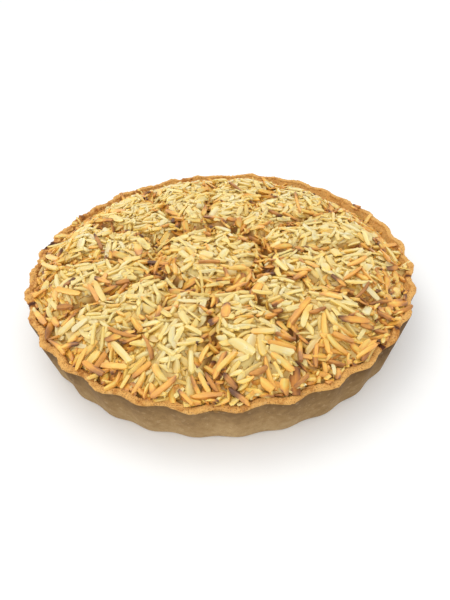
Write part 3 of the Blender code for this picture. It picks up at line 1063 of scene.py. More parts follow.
@dataclass
class Filling:
    """The custard and apple core that shows in the gaps between the almonds.

    A pool is its direction in degrees, its distance from the middle, its width and how high it stands.
    """

    form: HeapForm = HeapForm()
    sink: float = 4.2 * MM
    crease_sink: float = 3.6 * MM
    glaze_depth: float = 1.7 * MM
    crease_glaze: float = 1.8 * MM
    brim_lift: float = 3.0 * MM
    brim_width: float = 11.0 * MM
    front_width: float = math.radians(62.0)
    below_lip: float = 2.0 * MM
    rings: int = 130
    columns: int = 480
    lift: float = 0.4 * MM
    ripple: Lumps = Lumps(1.2 * MM, 170.0, 40.0)
    glaze_ripple: Lumps = Lumps(0.42 * MM, 340.0, 41.0)
    core_brim: float = 0.7
    brim_glaze: float = 0.2
    creamy_rise: float = 2.5 * MM
    shore: Pair = (-3.0 * MM, 9.0 * MM)
    shore_glaze: float = 3.0 * MM
    under_shoulder: float = 1.0 * MM
    off_floor: float = 0.1 * MM
    foot_gap: float = 0.3 * MM
    even_rich: float = 0.3
    cream_rich: float = 0.6
    pools: tuple[tuple[float, float, float, float], ...] = (
        (-74.5, 127.0 * MM, 6.5 * MM, 3.6 * MM),
        (-126.7, 92.4 * MM, 6.0 * MM, 3.0 * MM),
        (-101.0, 128.0 * MM, 4.5 * MM, 3.4 * MM),
        (-24.0, 124.0 * MM, 5.0 * MM, 3.2 * MM),
        (-150.0, 122.0 * MM, 4.5 * MM, 3.2 * MM),
        (62.0, 52.0 * MM, 5.5 * MM, 2.8 * MM),
        (118.0, 70.0 * MM, 5.0 * MM, 2.8 * MM),
    )
    pool_edge: Pair = (0.3, 1.3)
    cream_thin: float = 0.5
    mound_line: Pair = (0.3, 0.8)
    finish: FillingFinish = FillingFinish()

    def pool(self, x: Array, y: Array) -> Array:
        """Return how far the custard stands up to cover the almonds' feet.

        Args:
            x: First coordinates.
            y: Second coordinates.

        Returns:
            Heights over the sunk core.
        """
        total, (full, empty) = np.zeros_like(x), self.pool_edge
        for degrees, reach, width, rise in self.pools:
            turn = math.radians(degrees)
            gap = np.hypot(x - reach * math.cos(turn), y - reach * math.sin(turn))
            total = np.maximum(total, rise * (1.0 - soft_step(gap, full * width, empty * width)))
        return total

    def brim(self, x: Array, y: Array) -> Array:
        """Return how far the tart is filled up to its rim, from 0 to 1, which it is at the front."""
        near = 1.0 - soft_step(self.form.to_wall(x, y), 0.0, self.brim_width)
        return near * nearness(np.arctan2(y, x), FRONT, self.front_width)

    def surface(self, x: Array, y: Array) -> Array:
        """Return the height of the core that the slivers are laid on.

        Args:
            x: First coordinates.
            y: Second coordinates.

        Returns:
            Heights above the base.
        """
        hollow = 1.0 - np.clip(self.form.relief(x, y) / self.form.petal_height, 0.0, 1.0)
        depth = self.sink + self.crease_sink * hollow
        depth = depth * soft_step(self.form.to_wall(x, y), *self.shore)
        brim = self.core_brim * self.brim_lift * self.brim(x, y)
        return self.form.height(x, y) - depth + self.ripple.at(x, y) + self.pool(x, y) + brim

    def glaze(self, top: HeightGrid, x: Array, y: Array) -> Array:
        """Return the height to which syrup and custard fill the heap.

        Args:
            top: The smoothed top of the slivers.
            x: First coordinates.
            y: Second coordinates.

        Returns:
            Heights above the base.
        """
        petal, heart, _ = self.form.flower(x, y)
        crease = 1.0 - np.maximum(petal, heart)
        pooled = soft_step(self.pool(x, y), 0.0, self.creamy_rise)
        creamy = np.maximum(pooled, self.brim_glaze * self.brim(x, y))
        depth = (self.glaze_depth + self.crease_glaze * crease) * (1.0 - self.cream_thin * creamy)
        return np.maximum(self.surface(x, y), top.at(x, y) - depth + self.glaze_ripple.at(x, y))

    def build(self, top: HeightGrid) -> Piece:
        """Build the core and its glaze as one closed piece.

        Args:
            top: The smoothed top of the slivers.

        Returns:
            The finished piece.
        """
        case = self.form.case
        theta = TURN * np.arange(self.columns) / self.columns
        middle = case.inner(theta, case.shoulder(theta))
        level = self.glaze(top, middle * np.cos(theta), middle * np.sin(theta))
        highest = case.rim(theta) - case.lip_rise - self.below_lip
        level = np.clip(level, case.shoulder(theta) - self.under_shoulder, highest)
        edge = case.inner(theta, level) + self.lift
        shares = np.arange(1, self.rings + 1)[::-1] / self.rings
        radius = shares[:, None] * edge
        x, y = radius * np.cos(theta), radius * np.sin(theta)
        near = soft_step(edge - radius, 0.0, self.shore_glaze)
        z = level + (self.glaze(top, x, y) - level) * near
        low = np.full_like(edge, case.floor + self.off_floor)
        foot = case.inner(theta, low) - self.foot_gap
        bottom = np.stack([foot * np.cos(theta), foot * np.sin(theta), low], -1)
        rows = np.vstack([bottom, np.stack([x, y, z], -1).reshape(-1, 3)])
        centre = self.glaze(top, np.zeros(1), np.zeros(1))[0]
        poles = np.array([[0.0, 0.0, case.floor + self.off_floor], [0.0, 0.0, centre]])
        faces = ring_faces(self.rings + 1, self.columns)
        faces += cap_faces(0, self.columns, len(rows), False)
        faces += cap_faces(self.rings, self.columns, len(rows) + 1, True)
        piece = make_mesh("baked_filling", np.vstack([rows, poles]), faces)
        # Painted shade: the custard is paler on the mounds and darker in the creases between them.
        petal, heart, _ = self.form.flower(x, y)
        mound = soft_step(np.maximum(petal, heart), *self.mound_line)
        cream = np.maximum(soft_step(self.pool(x, y), 0.0, self.shore_glaze), self.brim(x, y))
        rich = (mound + cream * (self.cream_rich - mound)).ravel()
        hidden = [self.even_rich]
        set_value(piece, "rich", np.concatenate([hidden * self.columns, rich, hidden * 2]))
        piece.data.materials.append(self.finish.material())
        return piece


@dataclass
class AppleLump:
    """The one lump of yellow apple that shows beside the rim."""

    form: HeapForm = HeapForm()
    reach: float = 126.6 * MM
    direction: float = math.radians(-23.6)
    size: Triple = (8.6 * MM, 10.4 * MM, 7.0 * MM)
    rise: float = 0.6 * MM
    bulge: float = 0.52
    bulge_scale: float = 210.0
    subdivisions: int = 5
    finish: AppleFinish = AppleFinish()

    def build(self) -> Piece:
        """Build the lump.

        Returns:
            The finished piece.
        """
        bpy.ops.mesh.primitive_ico_sphere_add(subdivisions=self.subdivisions, radius=0.5)
        piece = bpy.context.object
        piece.name = "apple_lump"
        mesh = piece.data
        count = len(mesh.vertices)
        points = np.empty(count * 3, dtype=np.float32)
        mesh.vertices.foreach_get("co", points)
        points = points.reshape(-1, 3) * np.array(self.size)
        x, y, z = (points * self.bulge_scale).T
        points *= (1.0 + self.bulge * smooth_noise(x, y, z))[:, None]
        cos, sin = math.cos(self.direction), math.sin(self.direction)
        across, along, up = points.T
        spot = np.array([self.reach * cos, self.reach * sin])
        level = self.form.height(spot[:1], spot[1:])[0] + self.rise
        turned = np.stack([across * cos - along * sin, across * sin + along * cos], -1)
        placed = np.column_stack([turned + spot, up + level])
        mesh.vertices.foreach_set("co", placed.astype(np.float32).ravel())
        mesh.shade_smooth()
        mesh.materials.append(self.finish.material())
        return piece


# ---------------------------------------------------------------- viewpoint


@dataclass(frozen=True)
class Viewpoint:
    """Where the photograph was taken from, and what its pixels look at."""

    rim_height: float = 31.5 * MM
    distance: float = 317.9 * MM
    elevation: float = math.radians(34.5)
    roll: float = math.radians(-2.5)
    aim: Pair = (2.0 * MM, -52.9 * MM)
    lens: float = 25.1
    sensor: float = 36.0
    frame: tuple[int, int] = (450, 600)

    def eye(self) -> Vector:
        """Return the place of the camera."""
        back, up = self.distance * math.cos(self.elevation), self.distance * math.sin(self.elevation)
        return Vector((0.0, -back, up + self.rim_height))

    def axes(self) -> tuple[Vector, Vector, Vector]:
        """Return the directions of the camera.

        Returns:
            The directions across the frame, up it and into it.
        """
        ahead = (Vector((*self.aim, self.rim_height)) - self.eye()).normalized()
        right = ahead.cross(Vector((0.0, 0.0, 1.0))).normalized()
        up = right.cross(ahead)
        across = right * math.cos(self.roll) + up * math.sin(self.roll)
        above = up * math.cos(self.roll) - right * math.sin(self.roll)
        return across, above, ahead

    def spot(self, pixel: Pair, level: float) -> Vector:
        """Return the place at a level that a pixel of the photograph looks at.

        Args:
            pixel: The pixel.
            level: The height of the place.

        Returns:
            The place.
        """
        across, above, ahead = self.axes()
        reach = self.lens / self.sensor * self.frame[1]
        right, down = pixel[0] - 0.5 * self.frame[0], pixel[1] - 0.5 * self.frame[1]
        ray = ahead * reach + across * right - above * down
        eye = self.eye()
        return eye + ray * ((level - eye.z) / ray.z)


# ---------------------------------------------------------------- slivered almonds


class Roast(Enum):
    """How far a sliver is toasted."""

    PALE = "pale"
    GOLDEN = "golden"
    TOASTED = "toasted"
    SCORCHED = "scorched"


class Cut(Enum):
    """How a sliver is cut from its almond."""

    BATON = "batons"
    BLADE = "blades"
    CRESCENT = "crescents"
    CHIP = "chips"


@dataclass(frozen=True)
class RoastLook:
    """One roast: its toast in the body and at both ends, each a mean and a spread, and its finish.

    The flank is how much more its sides are toasted, and matting how closely it lies on what is under it.
    """

    body: Pair
    head: Pair
    tail: Pair
    flank: float
    matting: float
    finish: AlmondFinish


@dataclass(frozen=True)
class CutShape:
    """The form of one cut: sizes as a mean and a spread, and its section as corners on half sides of 1.

    Tip and butt are ranges of how full its ends are, and widest is the range of where it is fullest.
    """

    length: Pair
    width: Pair
    thickness: Pair
    corners: tuple[Pair, ...]
    fullness: float
    roundness: float
    tip: Pair
    butt: Pair
    widest: Pair
    slant: float
    bow: float


CUTS: dict[Cut, CutShape] = {
    Cut.BATON: CutShape(
        length=(12.2 * MM, 2.9 * MM), width=(3.0 * MM, 0.50 * MM), thickness=(2.3 * MM, 0.30 * MM),
        corners=((1.0, -0.75), (0.95, 0.72), (0.45, 1.0), (-0.9, 0.92), (-1.0, -0.7), (-0.2, -1.0)),
        fullness=3.4, roundness=0.55, tip=(0.30, 0.70), butt=(0.50, 0.90),
        widest=(-0.3, 0.3), slant=0.55, bow=0.015,
    ),
    Cut.BLADE: CutShape(
        length=(12.5 * MM, 3.0 * MM), width=(4.6 * MM, 0.9 * MM), thickness=(1.8 * MM, 0.25 * MM),
        corners=((1.0, -0.3), (0.75, 0.75), (0.1, 0.6), (-0.75, 0.85), (-1.0, -0.2), (0.1, -1.0)),
        fullness=3.5, roundness=0.55, tip=(0.25, 0.60), butt=(0.50, 0.88),
        widest=(-0.35, 0.25), slant=0.35, bow=0.03,
    ),
    Cut.CRESCENT: CutShape(
        length=(13.0 * MM, 2.6 * MM), width=(3.3 * MM, 0.5 * MM), thickness=(2.0 * MM, 0.30 * MM),
        corners=((1.0, -0.7), (0.9, 0.45), (0.3, 1.0), (-0.7, 0.85), (-1.0, -0.3), (-0.3, -1.0)),
        fullness=3.0, roundness=0.60, tip=(0.20, 0.45), butt=(0.40, 0.70),
        widest=(-0.3, 0.3), slant=0.3, bow=0.07,
    ),
    Cut.CHIP: CutShape(
        length=(6.6 * MM, 1.8 * MM), width=(3.0 * MM, 0.6 * MM), thickness=(1.8 * MM, 0.30 * MM),
        corners=((1.0, -0.5), (0.8, 0.8), (0.0, 1.0), (-0.85, 0.75), (-1.0, -0.6), (0.2, -1.0)),
        fullness=4.0, roundness=0.5, tip=(0.35, 0.75), butt=(0.55, 0.90),
        widest=(-0.3, 0.3), slant=0.7, bow=0.02,
    ),
}
CUT_SHARES: tuple[tuple[Cut, float], ...] = (
    (Cut.BATON, 0.28),
    (Cut.BLADE, 0.31),
    (Cut.CRESCENT, 0.23),
    (Cut.CHIP, 0.18),
)
ROASTS: dict[Roast, RoastLook] = {
    Roast.PALE: RoastLook(
        body=(0.14, 0.06), head=(0.07, 0.09), tail=(0.00, 0.05), flank=0.13, matting=1.0,
        finish=AlmondFinish("pale_almond", roughness=0.30, gloss=0.5, coat=0.35, flesh=0.75),
    ),
    Roast.GOLDEN: RoastLook(
        body=(0.26, 0.06), head=(0.18, 0.12), tail=(0.03, 0.06), flank=0.22, matting=0.95,
        finish=AlmondFinish("golden_almond", roughness=0.34, gloss=0.45, coat=0.3, flesh=0.55),
    ),
    Roast.TOASTED: RoastLook(
        body=(0.39, 0.08), head=(0.34, 0.14), tail=(0.04, 0.10), flank=0.28, matting=0.85,
        finish=AlmondFinish("toasted_almond", roughness=0.42, gloss=0.35, coat=0.1, flesh=0.3),
    ),
    Roast.SCORCHED: RoastLook(
        body=(0.62, 0.09), head=(0.22, 0.12), tail=(0.04, 0.12), flank=0.16, matting=0.8,
        finish=AlmondFinish("scorched_almond", roughness=0.5, gloss=0.25, coat=0.0, flesh=0.1),
    ),
}


@dataclass
class Sliver:
    """One slivered almond: its cut, its toast and where it lies."""

    cut: Cut
    roast: Roast
    length: float
    width: float
    thickness: float
    bow: float
    place: Array
    yaw: float
    burn: float | None = None
    pitch: float = 0.0
    roll: float = 0.0


@dataclass(frozen=True)
class Noted:
    """A sliver that stands out in the photograph, from its paler to its darker end.

    The ends are in pixels, the width in millimetres, and burn is how dark the darker end is.
    """

    start: Pair
    end: Pair
    width: float
    cut: Cut
    roast: Roast
    burn: float = 0.0


NOTED: tuple[Noted, ...] = (
    Noted((370, 321), (338, 324.5), 3.8, Cut.BATON, Roast.TOASTED, 0.48),
    Noted((309, 314), (325, 309), 3.4, Cut.CRESCENT, Roast.SCORCHED, 0.15),
    Noted((310, 301), (291, 320.5), 4.0, Cut.BATON, Roast.TOASTED, 0.15),
    Noted((323, 317.5), (330, 350), 3.8, Cut.BLADE, Roast.GOLDEN, 0.2),
    Noted((274, 339), (296, 339), 2.8, Cut.BATON, Roast.TOASTED, 0.38),
    Noted((267.5, 346), (297, 345.5), 3.5, Cut.BATON, Roast.TOASTED, 0.15),
    Noted((300.5, 342.5), (300.5, 365), 2.8, Cut.BATON, Roast.GOLDEN, 0.5),
    Noted((316.5, 348.5), (315, 367.5), 3.0, Cut.BLADE, Roast.TOASTED, 0.28),
    Noted((270, 357.5), (294, 370), 4.2, Cut.BLADE, Roast.GOLDEN, 0.15),
    Noted((265, 361), (277, 389), 2.8, Cut.CRESCENT, Roast.TOASTED, 0.15),
    Noted((260, 383), (273, 391), 5.2, Cut.BLADE, Roast.TOASTED),
    Noted((294, 389), (307.5, 377.5), 2.6, Cut.BATON, Roast.SCORCHED),
    Noted((224, 376), (237, 389), 3.2, Cut.BATON, Roast.SCORCHED, 0.2),
    Noted((205.5, 376), (217.5, 392.5), 2.6, Cut.BATON, Roast.SCORCHED, 0.1),
    Noted((199, 377.5), (210, 394), 2.8, Cut.BATON, Roast.GOLDEN, 0.05),
    Noted((214, 378), (225, 356), 3.8, Cut.BLADE, Roast.TOASTED, 0.25),
    Noted((209.5, 346), (200, 365), 2.8, Cut.BLADE, Roast.GOLDEN, 0.15),
    Noted((237.5, 384), (254, 379), 2.8, Cut.CRESCENT, Roast.GOLDEN, 0.2),
    Noted((192.5, 398), (222.5, 396), 3.4, Cut.BATON, Roast.TOASTED, 0.15),
    Noted((151, 398.5), (177, 380.5), 3.6, Cut.BATON, Roast.TOASTED, 0.25),
    Noted((193, 405.5), (179, 393), 2.4, Cut.BATON, Roast.TOASTED, 0.5),
    Noted((272, 311), (283, 314), 3.0, Cut.CHIP, Roast.SCORCHED, 0.2),
    Noted((327.5, 364), (345, 366), 2.6, Cut.BATON, Roast.SCORCHED, 0.1),
    Noted((370, 340), (357.5, 354), 4.0, Cut.BLADE, Roast.GOLDEN, 0.25),
    Noted((356, 359.5), (375, 347.5), 2.6, Cut.BATON, Roast.GOLDEN, 0.2),
    Noted((331, 338), (354, 341.5), 2.8, Cut.BATON, Roast.TOASTED, 0.15),
    Noted((329, 304), (370, 319), 2.6, Cut.BATON, Roast.PALE, 0.05),
    Noted((269, 212), (281.5, 217), 2.7, Cut.BATON, Roast.SCORCHED, 0.35),
    Noted((281.5, 218), (298.5, 219.5), 2.4, Cut.BATON, Roast.TOASTED, 0.25),
    Noted((229, 185), (240.5, 193), 2.8, Cut.BATON, Roast.SCORCHED, 0.1),
    Noted((300.5, 213), (295, 194.5), 2.4, Cut.BATON, Roast.TOASTED, 0.35),
    Noted((220, 263), (198.5, 263.5), 2.4, Cut.BATON, Roast.SCORCHED),
    Noted((206, 288.5), (230, 285), 2.8, Cut.BLADE, Roast.PALE),
    Noted((345.5, 286.5), (331.5, 277), 2.6, Cut.BATON, Roast.TOASTED, 0.5),
    Noted((398.5, 265.5), (385.5, 271.5), 4.2, Cut.BLADE, Roast.SCORCHED, 0.3),
    Noted((274, 260), (287, 271.5), 4.2, Cut.BLADE, Roast.PALE),
    Noted((397, 285.5), (387, 298.5), 4.4, Cut.BLADE, Roast.SCORCHED, 0.3),
    Noted((391, 302), (369, 307.5), 2.6, Cut.CRESCENT, Roast.SCORCHED, 0.2),
    Noted((394, 321.5), (376, 316.5), 4.2, Cut.BLADE, Roast.SCORCHED, 0.15),
    Noted((352.5, 296), (369, 285.5), 2.6, Cut.CRESCENT, Roast.SCORCHED, 0.1),
    Noted((225.5, 290), (247, 287), 3.8, Cut.BLADE, Roast.TOASTED, 0.2),
    Noted((64, 286), (75.5, 279.5), 3.8, Cut.BATON, Roast.SCORCHED, 0.35),
    Noted((110, 284), (95, 280), 2.8, Cut.BATON, Roast.TOASTED, 0.5),
    Noted((116, 284.5), (129, 280.5), 3.2, Cut.BATON, Roast.SCORCHED),
    Noted((95, 236.5), (101.5, 248), 2.8, Cut.BATON, Roast.SCORCHED, 0.1),
    Noted((46.5, 255), (59, 264), 5.0, Cut.BLADE, Roast.GOLDEN, 0.15),
    Noted((60, 275), (41.5, 261.5), 3.2, Cut.BATON, Roast.PALE, 0.1),
    Noted((137, 338), (109, 330), 2.8, Cut.CRESCENT, Roast.SCORCHED),
    Noted((143, 338), (151.5, 359), 2.8, Cut.CRESCENT, Roast.SCORCHED, 0.1),
    Noted((112, 346), (131, 366), 4.2, Cut.BLADE, Roast.PALE),
    Noted((84.5, 363.5), (103.5, 374.5), 4.2, Cut.BLADE, Roast.TOASTED, 0.4),
    Noted((128, 370), (102, 365.5), 3.4, Cut.BATON, Roast.GOLDEN, 0.2),
    Noted((166, 282), (178, 292), 3.2, Cut.BLADE, Roast.PALE),
    Noted((122, 338), (106, 342), 3.8, Cut.BLADE, Roast.TOASTED, 0.35),
    Noted((80, 293.5), (57, 290.5), 4.4, Cut.BLADE, Roast.GOLDEN, 0.1),
    Noted((82.5, 292.5), (95, 285.5), 3.4, Cut.BLADE, Roast.GOLDEN, 0.25),
    Noted((74, 310), (58.5, 312), 3.2, Cut.BATON, Roast.SCORCHED),
    Noted((73, 320), (80, 307.5), 2.4, Cut.BATON, Roast.TOASTED, 0.2),
    Noted((92.5, 296), (101, 310), 3.0, Cut.BATON, Roast.TOASTED, 0.1),
    Noted((98, 291), (107.5, 310), 4.2, Cut.BATON, Roast.PALE),
    Noted((48, 300), (57.5, 310.5), 3.4, Cut.BLADE, Roast.PALE),
    Noted((34, 298), (47.5, 292.5), 2.6, Cut.CRESCENT, Roast.TOASTED, 0.15),
    Noted((35.5, 312.5), (46, 325), 3.0, Cut.BATON, Roast.GOLDEN, 0.3),
    Noted((53, 319), (60, 329), 3.8, Cut.BLADE, Roast.TOASTED, 0.3),
    Noted((343.5, 280), (360.5, 270), 2.4, Cut.BATON, Roast.TOASTED, 0.1),
    Noted((361, 270), (376.5, 283), 2.4, Cut.CRESCENT, Roast.TOASTED, 0.2),
    Noted((347, 268), (366, 258), 4.2, Cut.BLADE, Roast.TOASTED, 0.1),
    Noted((393, 312.5), (412, 306), 3.0, Cut.CRESCENT, Roast.SCORCHED, 0.1),
    Noted((374, 329), (359, 328), 3.4, Cut.BLADE, Roast.SCORCHED),
    Noted((386.5, 334), (375, 332), 2.8, Cut.BATON, Roast.SCORCHED, 0.15),
    Noted((342, 300.5), (321, 295), 3.6, Cut.BLADE, Roast.GOLDEN, 0.3),
    Noted((372.5, 249.5), (396, 244), 3.0, Cut.BATON, Roast.GOLDEN, 0.25),
    Noted((389, 264), (380.5, 251), 3.0, Cut.BATON, Roast.TOASTED, 0.1),
    Noted((386, 250), (396, 262), 3.2, Cut.BATON, Roast.PALE),
)


@dataclass(frozen=True)
class Layer:
    """One strewing of slivers.

    It says how many there are, how far they settle, the spread of their tilts, their extra heat, the widest
    gap under one, how matted they lie, how many places are compared for each, their size, and how much the
    strewing creeps to browner places.
    """

    count: int
    settle: float
    tilt: float
    heat: float
    gap: float
    matting: float
    choices: int
    size: float
    creep: float = 0.0


class Survey:
    """Where every point of a grid lies on the tart."""

    front_width = math.radians(55.0)

    def __init__(self, form: HeapForm, grid: HeightGrid) -> None:
        """Survey a grid.

        Args:
            form: The form of the heap and its case.
            grid: The grid.
        """
        case = form.case
        self.x, self.y = grid.x, grid.y
        self.theta, self.r = np.arctan2(self.y, self.x), np.hypot(self.x, self.y)
        self.rim, self.shoulder = case.rim(self.theta), case.shoulder(self.theta)
        self.outside = case.outer(self.theta, self.rim)
        self.bottom_edge = case.inner(self.theta, self.shoulder)
        self.top_edge = case.inner(self.theta, self.rim - case.lip_rise)
        self.wall = form.to_wall(self.x, self.y)
        self.front = nearness(self.theta, FRONT, self.front_width)
        petal, heart, _ = form.flower(self.x, self.y)
        self.crease = 1.0 - np.maximum(petal, heart)


@dataclass(frozen=True)
class Headroom:
    """How high slivers may reach, so that the rim shows where it does."""

    highest: float = 43.7 * MM
    rim_clear: float = 2.6 * MM
    back_clear: float = 1.8 * MM
    back_start: float = -0.5
    wander: Lumps = Lumps(3.0 * MM, 45.0, 80.0)
    climb: float = 0.62
    front_lift: float = 5.0 * MM
    left_lift: float = 3.2 * MM
    left_place: float = math.radians(172.0)
    left_width: float = math.radians(38.0)

    def inside(self, survey: Survey) -> Array:
        """Return how high slivers may reach inside the rim.

        Args:
            survey: Where the grid's points lie.

        Returns:
            Heights above the base.
        """
        back = np.clip(np.sin(survey.theta) - self.back_start, 0.0, 1.0)
        clear = self.rim_clear + self.back_clear * back + self.wander.at(survey.x, survey.y)
        left = nearness(survey.theta, self.left_place, self.left_width)
        lift = self.front_lift * survey.front + self.left_lift * left
        climb = self.climb * np.maximum(0.0, survey.bottom_edge - survey.r) - clear + lift
        return np.minimum(self.highest, survey.rim + climb)


@dataclass(frozen=True)
class Oven:
    """How far the oven browned each place, and the share of each roast there.

    A roast's share is what it starts at, how far it climbs with the heat, and the power of that climb.
    """

    hollow_heat: float = 1.12
    rim_heat: Pair = (0.30, 0.50)
    rim_reach: Pair = (11.0 * MM, 30.0 * MM)
    rim_start: float = 2.0 * MM
    edge_heat: float = 0.3
    edge_width: float = 9.0 * MM
    patches: Lumps = Lumps(0.20, 30.0, 60.0)
    back_side: float = 0.5
    right_side: float = 0.15
    full_heat: float = 0.95
    pale: Triple = (0.95, -0.88, 1.0)
    toasted: Triple = (0.015, 0.46, 1.3)
    scorched: Triple = (0.002, 0.06, 2.0)

    def heat(self, survey: Survey, hollow: Array) -> Array:
        """Return how much each place was browned, most in the creases and at the rim's sides.

        Args:
            survey: Where the grid's points lie.
            hollow: How deep each lies in a crease, from 0 to 1.

        Returns:
            Values around 0 to 1.
        """
        theta = survey.theta
        side = np.minimum(1.0, np.abs(np.cos(theta)) + self.back_side * (np.sin(theta) > 0.0))
        side = side + self.right_side * np.cos(theta)
        least, most = self.rim_reach
        near_rim = 1.0 - soft_step(survey.wall, self.rim_start, least + (most - least) * side)
        at_edge = 1.0 - soft_step(survey.wall, 0.0, self.edge_width)
        rim = (self.rim_heat[0] + self.rim_heat[1] * side) * near_rim
        patches = self.patches.at(survey.x, survey.y)
        return self.hollow_heat * hollow + rim + self.edge_heat * at_edge + patches

    def shares(self, heat: float) -> tuple[tuple[Roast, float], ...]:
        """Return the share of each roast at a place.

        Args:
            heat: The heat of the place.

        Returns:
            Each roast with its share.
        """
        warmth = min(1.0, max(0.0, heat / self.full_heat))
        curves = {Roast.PALE: self.pale, Roast.TOASTED: self.toasted, Roast.SCORCHED: self.scorched}
        shares = {roast: least + climb * warmth**power for roast, (least, climb, power) in curves.items()}
        shares[Roast.GOLDEN] = 1.0 - sum(shares.values())
        return tuple((roast, shares[roast]) for roast in Roast)


@dataclass(frozen=True)
class Carver:
    """How slivers are cut and toasted, no two alike."""

    stations: int = 6
    uneven: float = 0.04
    corner_uneven: float = 0.10
    twist: float = 0.14
    sag: float = 0.016
    flat_share: float = 0.55
    head_start: Pair = (-0.6, 0.4)
    head_climb: float = 0.8
    tail_line: Pair = (0.3, 1.0)
    noted_richer: float = 0.06
    noted_burn: float = 0.88

    def carve(self, sliver: Sliver, rng: np.random.Generator) -> tuple[Array, Array, Array]:
        """Return the form of one sliver before it is laid.

        Args:
            sliver: The sliver.
            rng: What the draws are made with.

        Returns:
            Its points round its middle, how far along each lies from -1 to 1, and how far out at a flank.
        """
        shape = CUTS[sliver.cut]
        s = np.sin(0.5 * math.pi * np.linspace(-1.0, 1.0, self.stations))
        widest = rng.uniform(*shape.widest)
        share = np.where(s < widest, (s - widest) / (1.0 + widest), (s - widest) / (1.0 - widest))
        end = np.where(s < widest, rng.uniform(*shape.tip), rng.uniform(*shape.butt))
        swell = np.maximum(0.0, 1.0 - np.abs(share) ** shape.fullness) ** shape.roundness
        girth = (end + (1.0 - end) * swell) * (1.0 + rng.normal(0.0, self.uneven, self.stations))
        depth = self.flat_share + (1.0 - self.flat_share) * girth
        depth = depth * (1.0 + rng.normal(0.0, self.uneven, self.stations))
        corners = np.array(shape.corners)
        corners = corners + rng.normal(0.0, self.corner_uneven, corners.shape)
        y = 0.5 * sliver.width * girth[:, None] * corners[:, 0]
        z = 0.5 * sliver.thickness * depth[:, None] * corners[:, 1]
        twist = rng.normal(0.0, self.twist) * s[:, None]
        y, z = y * np.cos(twist) - z * np.sin(twist), y * np.sin(twist) + z * np.cos(twist)
        slant = rng.normal(0.0, shape.slant, 2)
        lean = np.where(s < 0.0, slant[0], slant[1]) * s**2
        x = 0.5 * sliver.length * s[:, None] + lean[:, None] * y
        bend = (1.0 - s**2)[:, None]
        y = y + sliver.bow * sliver.length * bend
        z = z + rng.normal(0.0, self.sag) * sliver.length * (bend - 0.5)
        ring = len(corners)
        local = np.stack([x.ravel(), y.ravel(), z.ravel()], -1)
        local = np.vstack([local, local[:ring].mean(0), local[-ring:].mean(0)])
        along = np.append(np.repeat(s, ring), [-1.0, 1.0])
        flank = np.append(np.tile(np.abs(corners[:, 0]), self.stations), [0.5, 0.5])
        return local, along, flank

    def toast(self, sliver: Sliver, along: Array, flank: Array, rng: np.random.Generator) -> Array:
        """Return how toasted each point of one sliver is, more at its ends and flanks.

        Args:
            sliver: The sliver.
            along: How far along each point lies, from -1 to 1.
            flank: How far out each lies at a flank.
            rng: What the draws are made with.

        Returns:
            Values from 0, pale, to 1, burnt.
        """
        look, noted = ROASTS[sliver.roast], sliver.burn is not None
        way = 1.0 if noted else rng.choice((-1.0, 1.0))
        head = self.noted_burn * sliver.burn if noted else max(0.0, rng.normal(*look.head))
        tail = max(0.0, rng.normal(*look.tail))
        start = rng.uniform(*self.head_start)
        tips = head * soft_step(way * along, start, start + self.head_climb)
        tips = tips + tail * soft_step(-way * along, *self.tail_line)
        body = look.body[0] + self.noted_richer if noted else rng.normal(*look.body)
        return body + tips + look.flank * (flank - 0.5)

    def faces(self) -> list[tuple[int, ...]]:
        """Return the faces of one sliver by the numbers of its points.

        Returns:
            The faces.
        """
        columns = len(CUTS[Cut.BATON].corners)
        last = self.stations * columns
        faces: list[tuple[int, ...]] = list(ring_faces(self.stations, columns))
        faces += cap_faces(0, columns, last, False)
        faces += cap_faces(self.stations - 1, columns, last + 1, True)
        return faces


